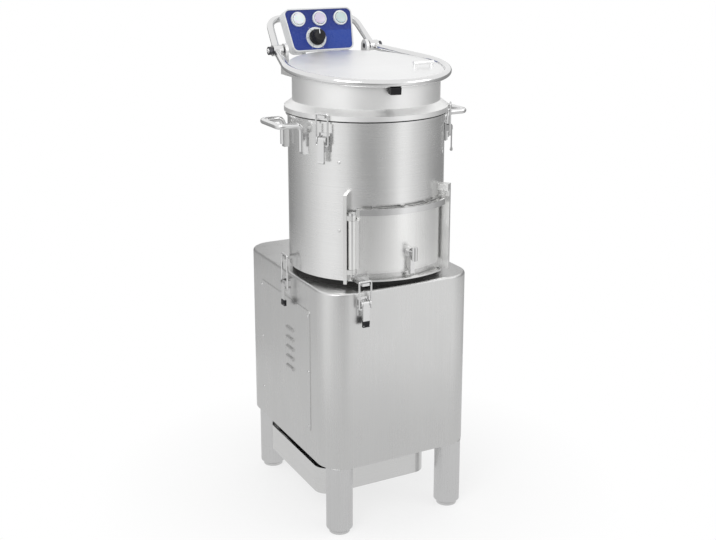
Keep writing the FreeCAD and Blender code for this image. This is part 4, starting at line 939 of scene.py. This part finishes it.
# %% Dial ticks and numbers
DIAL_INNER = 18.6 * MM
DIAL_NUMBERS = (0, 1, 2, 3, 4, 5)
NUMBER_RADIUS = 26.3 * MM
NUMBER_SIZE = 3.4 * MM
DIAL_SWEEP = 300

def dial_surface():
    """How far the dial ring's front lies from the knob's own point, along the normal."""
    near = [vertex.co for vertex in NODES["bezel_rings"].data.vertices
            if (vertex.co - KNOB_AT - OUT * (vertex.co - KNOB_AT).dot(OUT)).length < 26 * MM]
    return max((co - KNOB_AT).dot(OUT) for co in near)


def make_dial():
    rise = dial_surface()
    ticks = []
    steps = DIAL_SWEEP // 30
    for step in range(steps + 1):
        angle = math.radians(-DIAL_SWEEP / 2 + step * DIAL_SWEEP / steps)
        way = UP * math.cos(angle) + ACROSS * math.sin(angle)
        aside = way.cross(OUT)
        start = KNOB_AT + OUT * rise + way * DIAL_INNER
        long = 4.2 * MM if step % 2 == 0 else 2.2 * MM
        ticks.append(slab(start, way, aside, OUT, long, 0.7 * MM, 0.15 * MM))
    add_piece("dial_ticks", joined(ticks), "stand", black_plastic, False)
    return rise


def number_mesh(number, at):
    """A thin raised figure that stands on the panel."""
    curve = bpy.data.curves.new("figure", "FONT")
    curve.body = str(number)
    curve.size = NUMBER_SIZE
    curve.align_x = "CENTER"
    curve.align_y = "CENTER"
    curve.extrude = 0.05 * MM
    figure = bpy.data.objects.new("figure", curve)
    bpy.context.scene.collection.objects.link(figure)
    mesh = bpy.data.meshes.new_from_object(figure.evaluated_get(
        bpy.context.evaluated_depsgraph_get()))
    bpy.data.objects.remove(figure)
    bpy.data.curves.remove(curve)
    stand = Matrix((ACROSS, UP, OUT)).transposed().to_4x4()
    mesh.transform(Matrix.Translation(at) @ stand)
    return mesh


def make_numbers():
    centre, _, front = face_points("control_panel")
    rise = (centre - KNOB_AT).dot(OUT) + front
    for index, number in enumerate(DIAL_NUMBERS):
        share = index / (len(DIAL_NUMBERS) - 1)
        angle = math.radians((share - 0.5) * DIAL_SWEEP)
        way = UP * math.cos(angle) + ACROSS * math.sin(angle)
        mesh = number_mesh(number, KNOB_AT + OUT * rise + way * NUMBER_RADIUS)
        add_piece(f"dial_number_{number}", mesh, "stand", ring_plastic, False)
    return rise


print("dial face lies", round(make_dial() / MM, 2), "mm from the knob's pivot")
print("panel lies", round(make_numbers() / MM, 2), "mm from it")

# %% [markdown]
# ## The last measurements
# The dressed machine's box is measured, and how much it grew past the engineering model's box is
# printed for each axis. The dressed machine must not be bigger than the engineering model.

# %% Measure the growth
made_box = [list(corner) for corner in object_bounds()]
growth = [round((made_box[1][axis] - made_box[0][axis]) - (cad_box[1][axis] - cad_box[0][axis]), 5)
          for axis in range(3)]
print("growth by axis in metres:", growth)
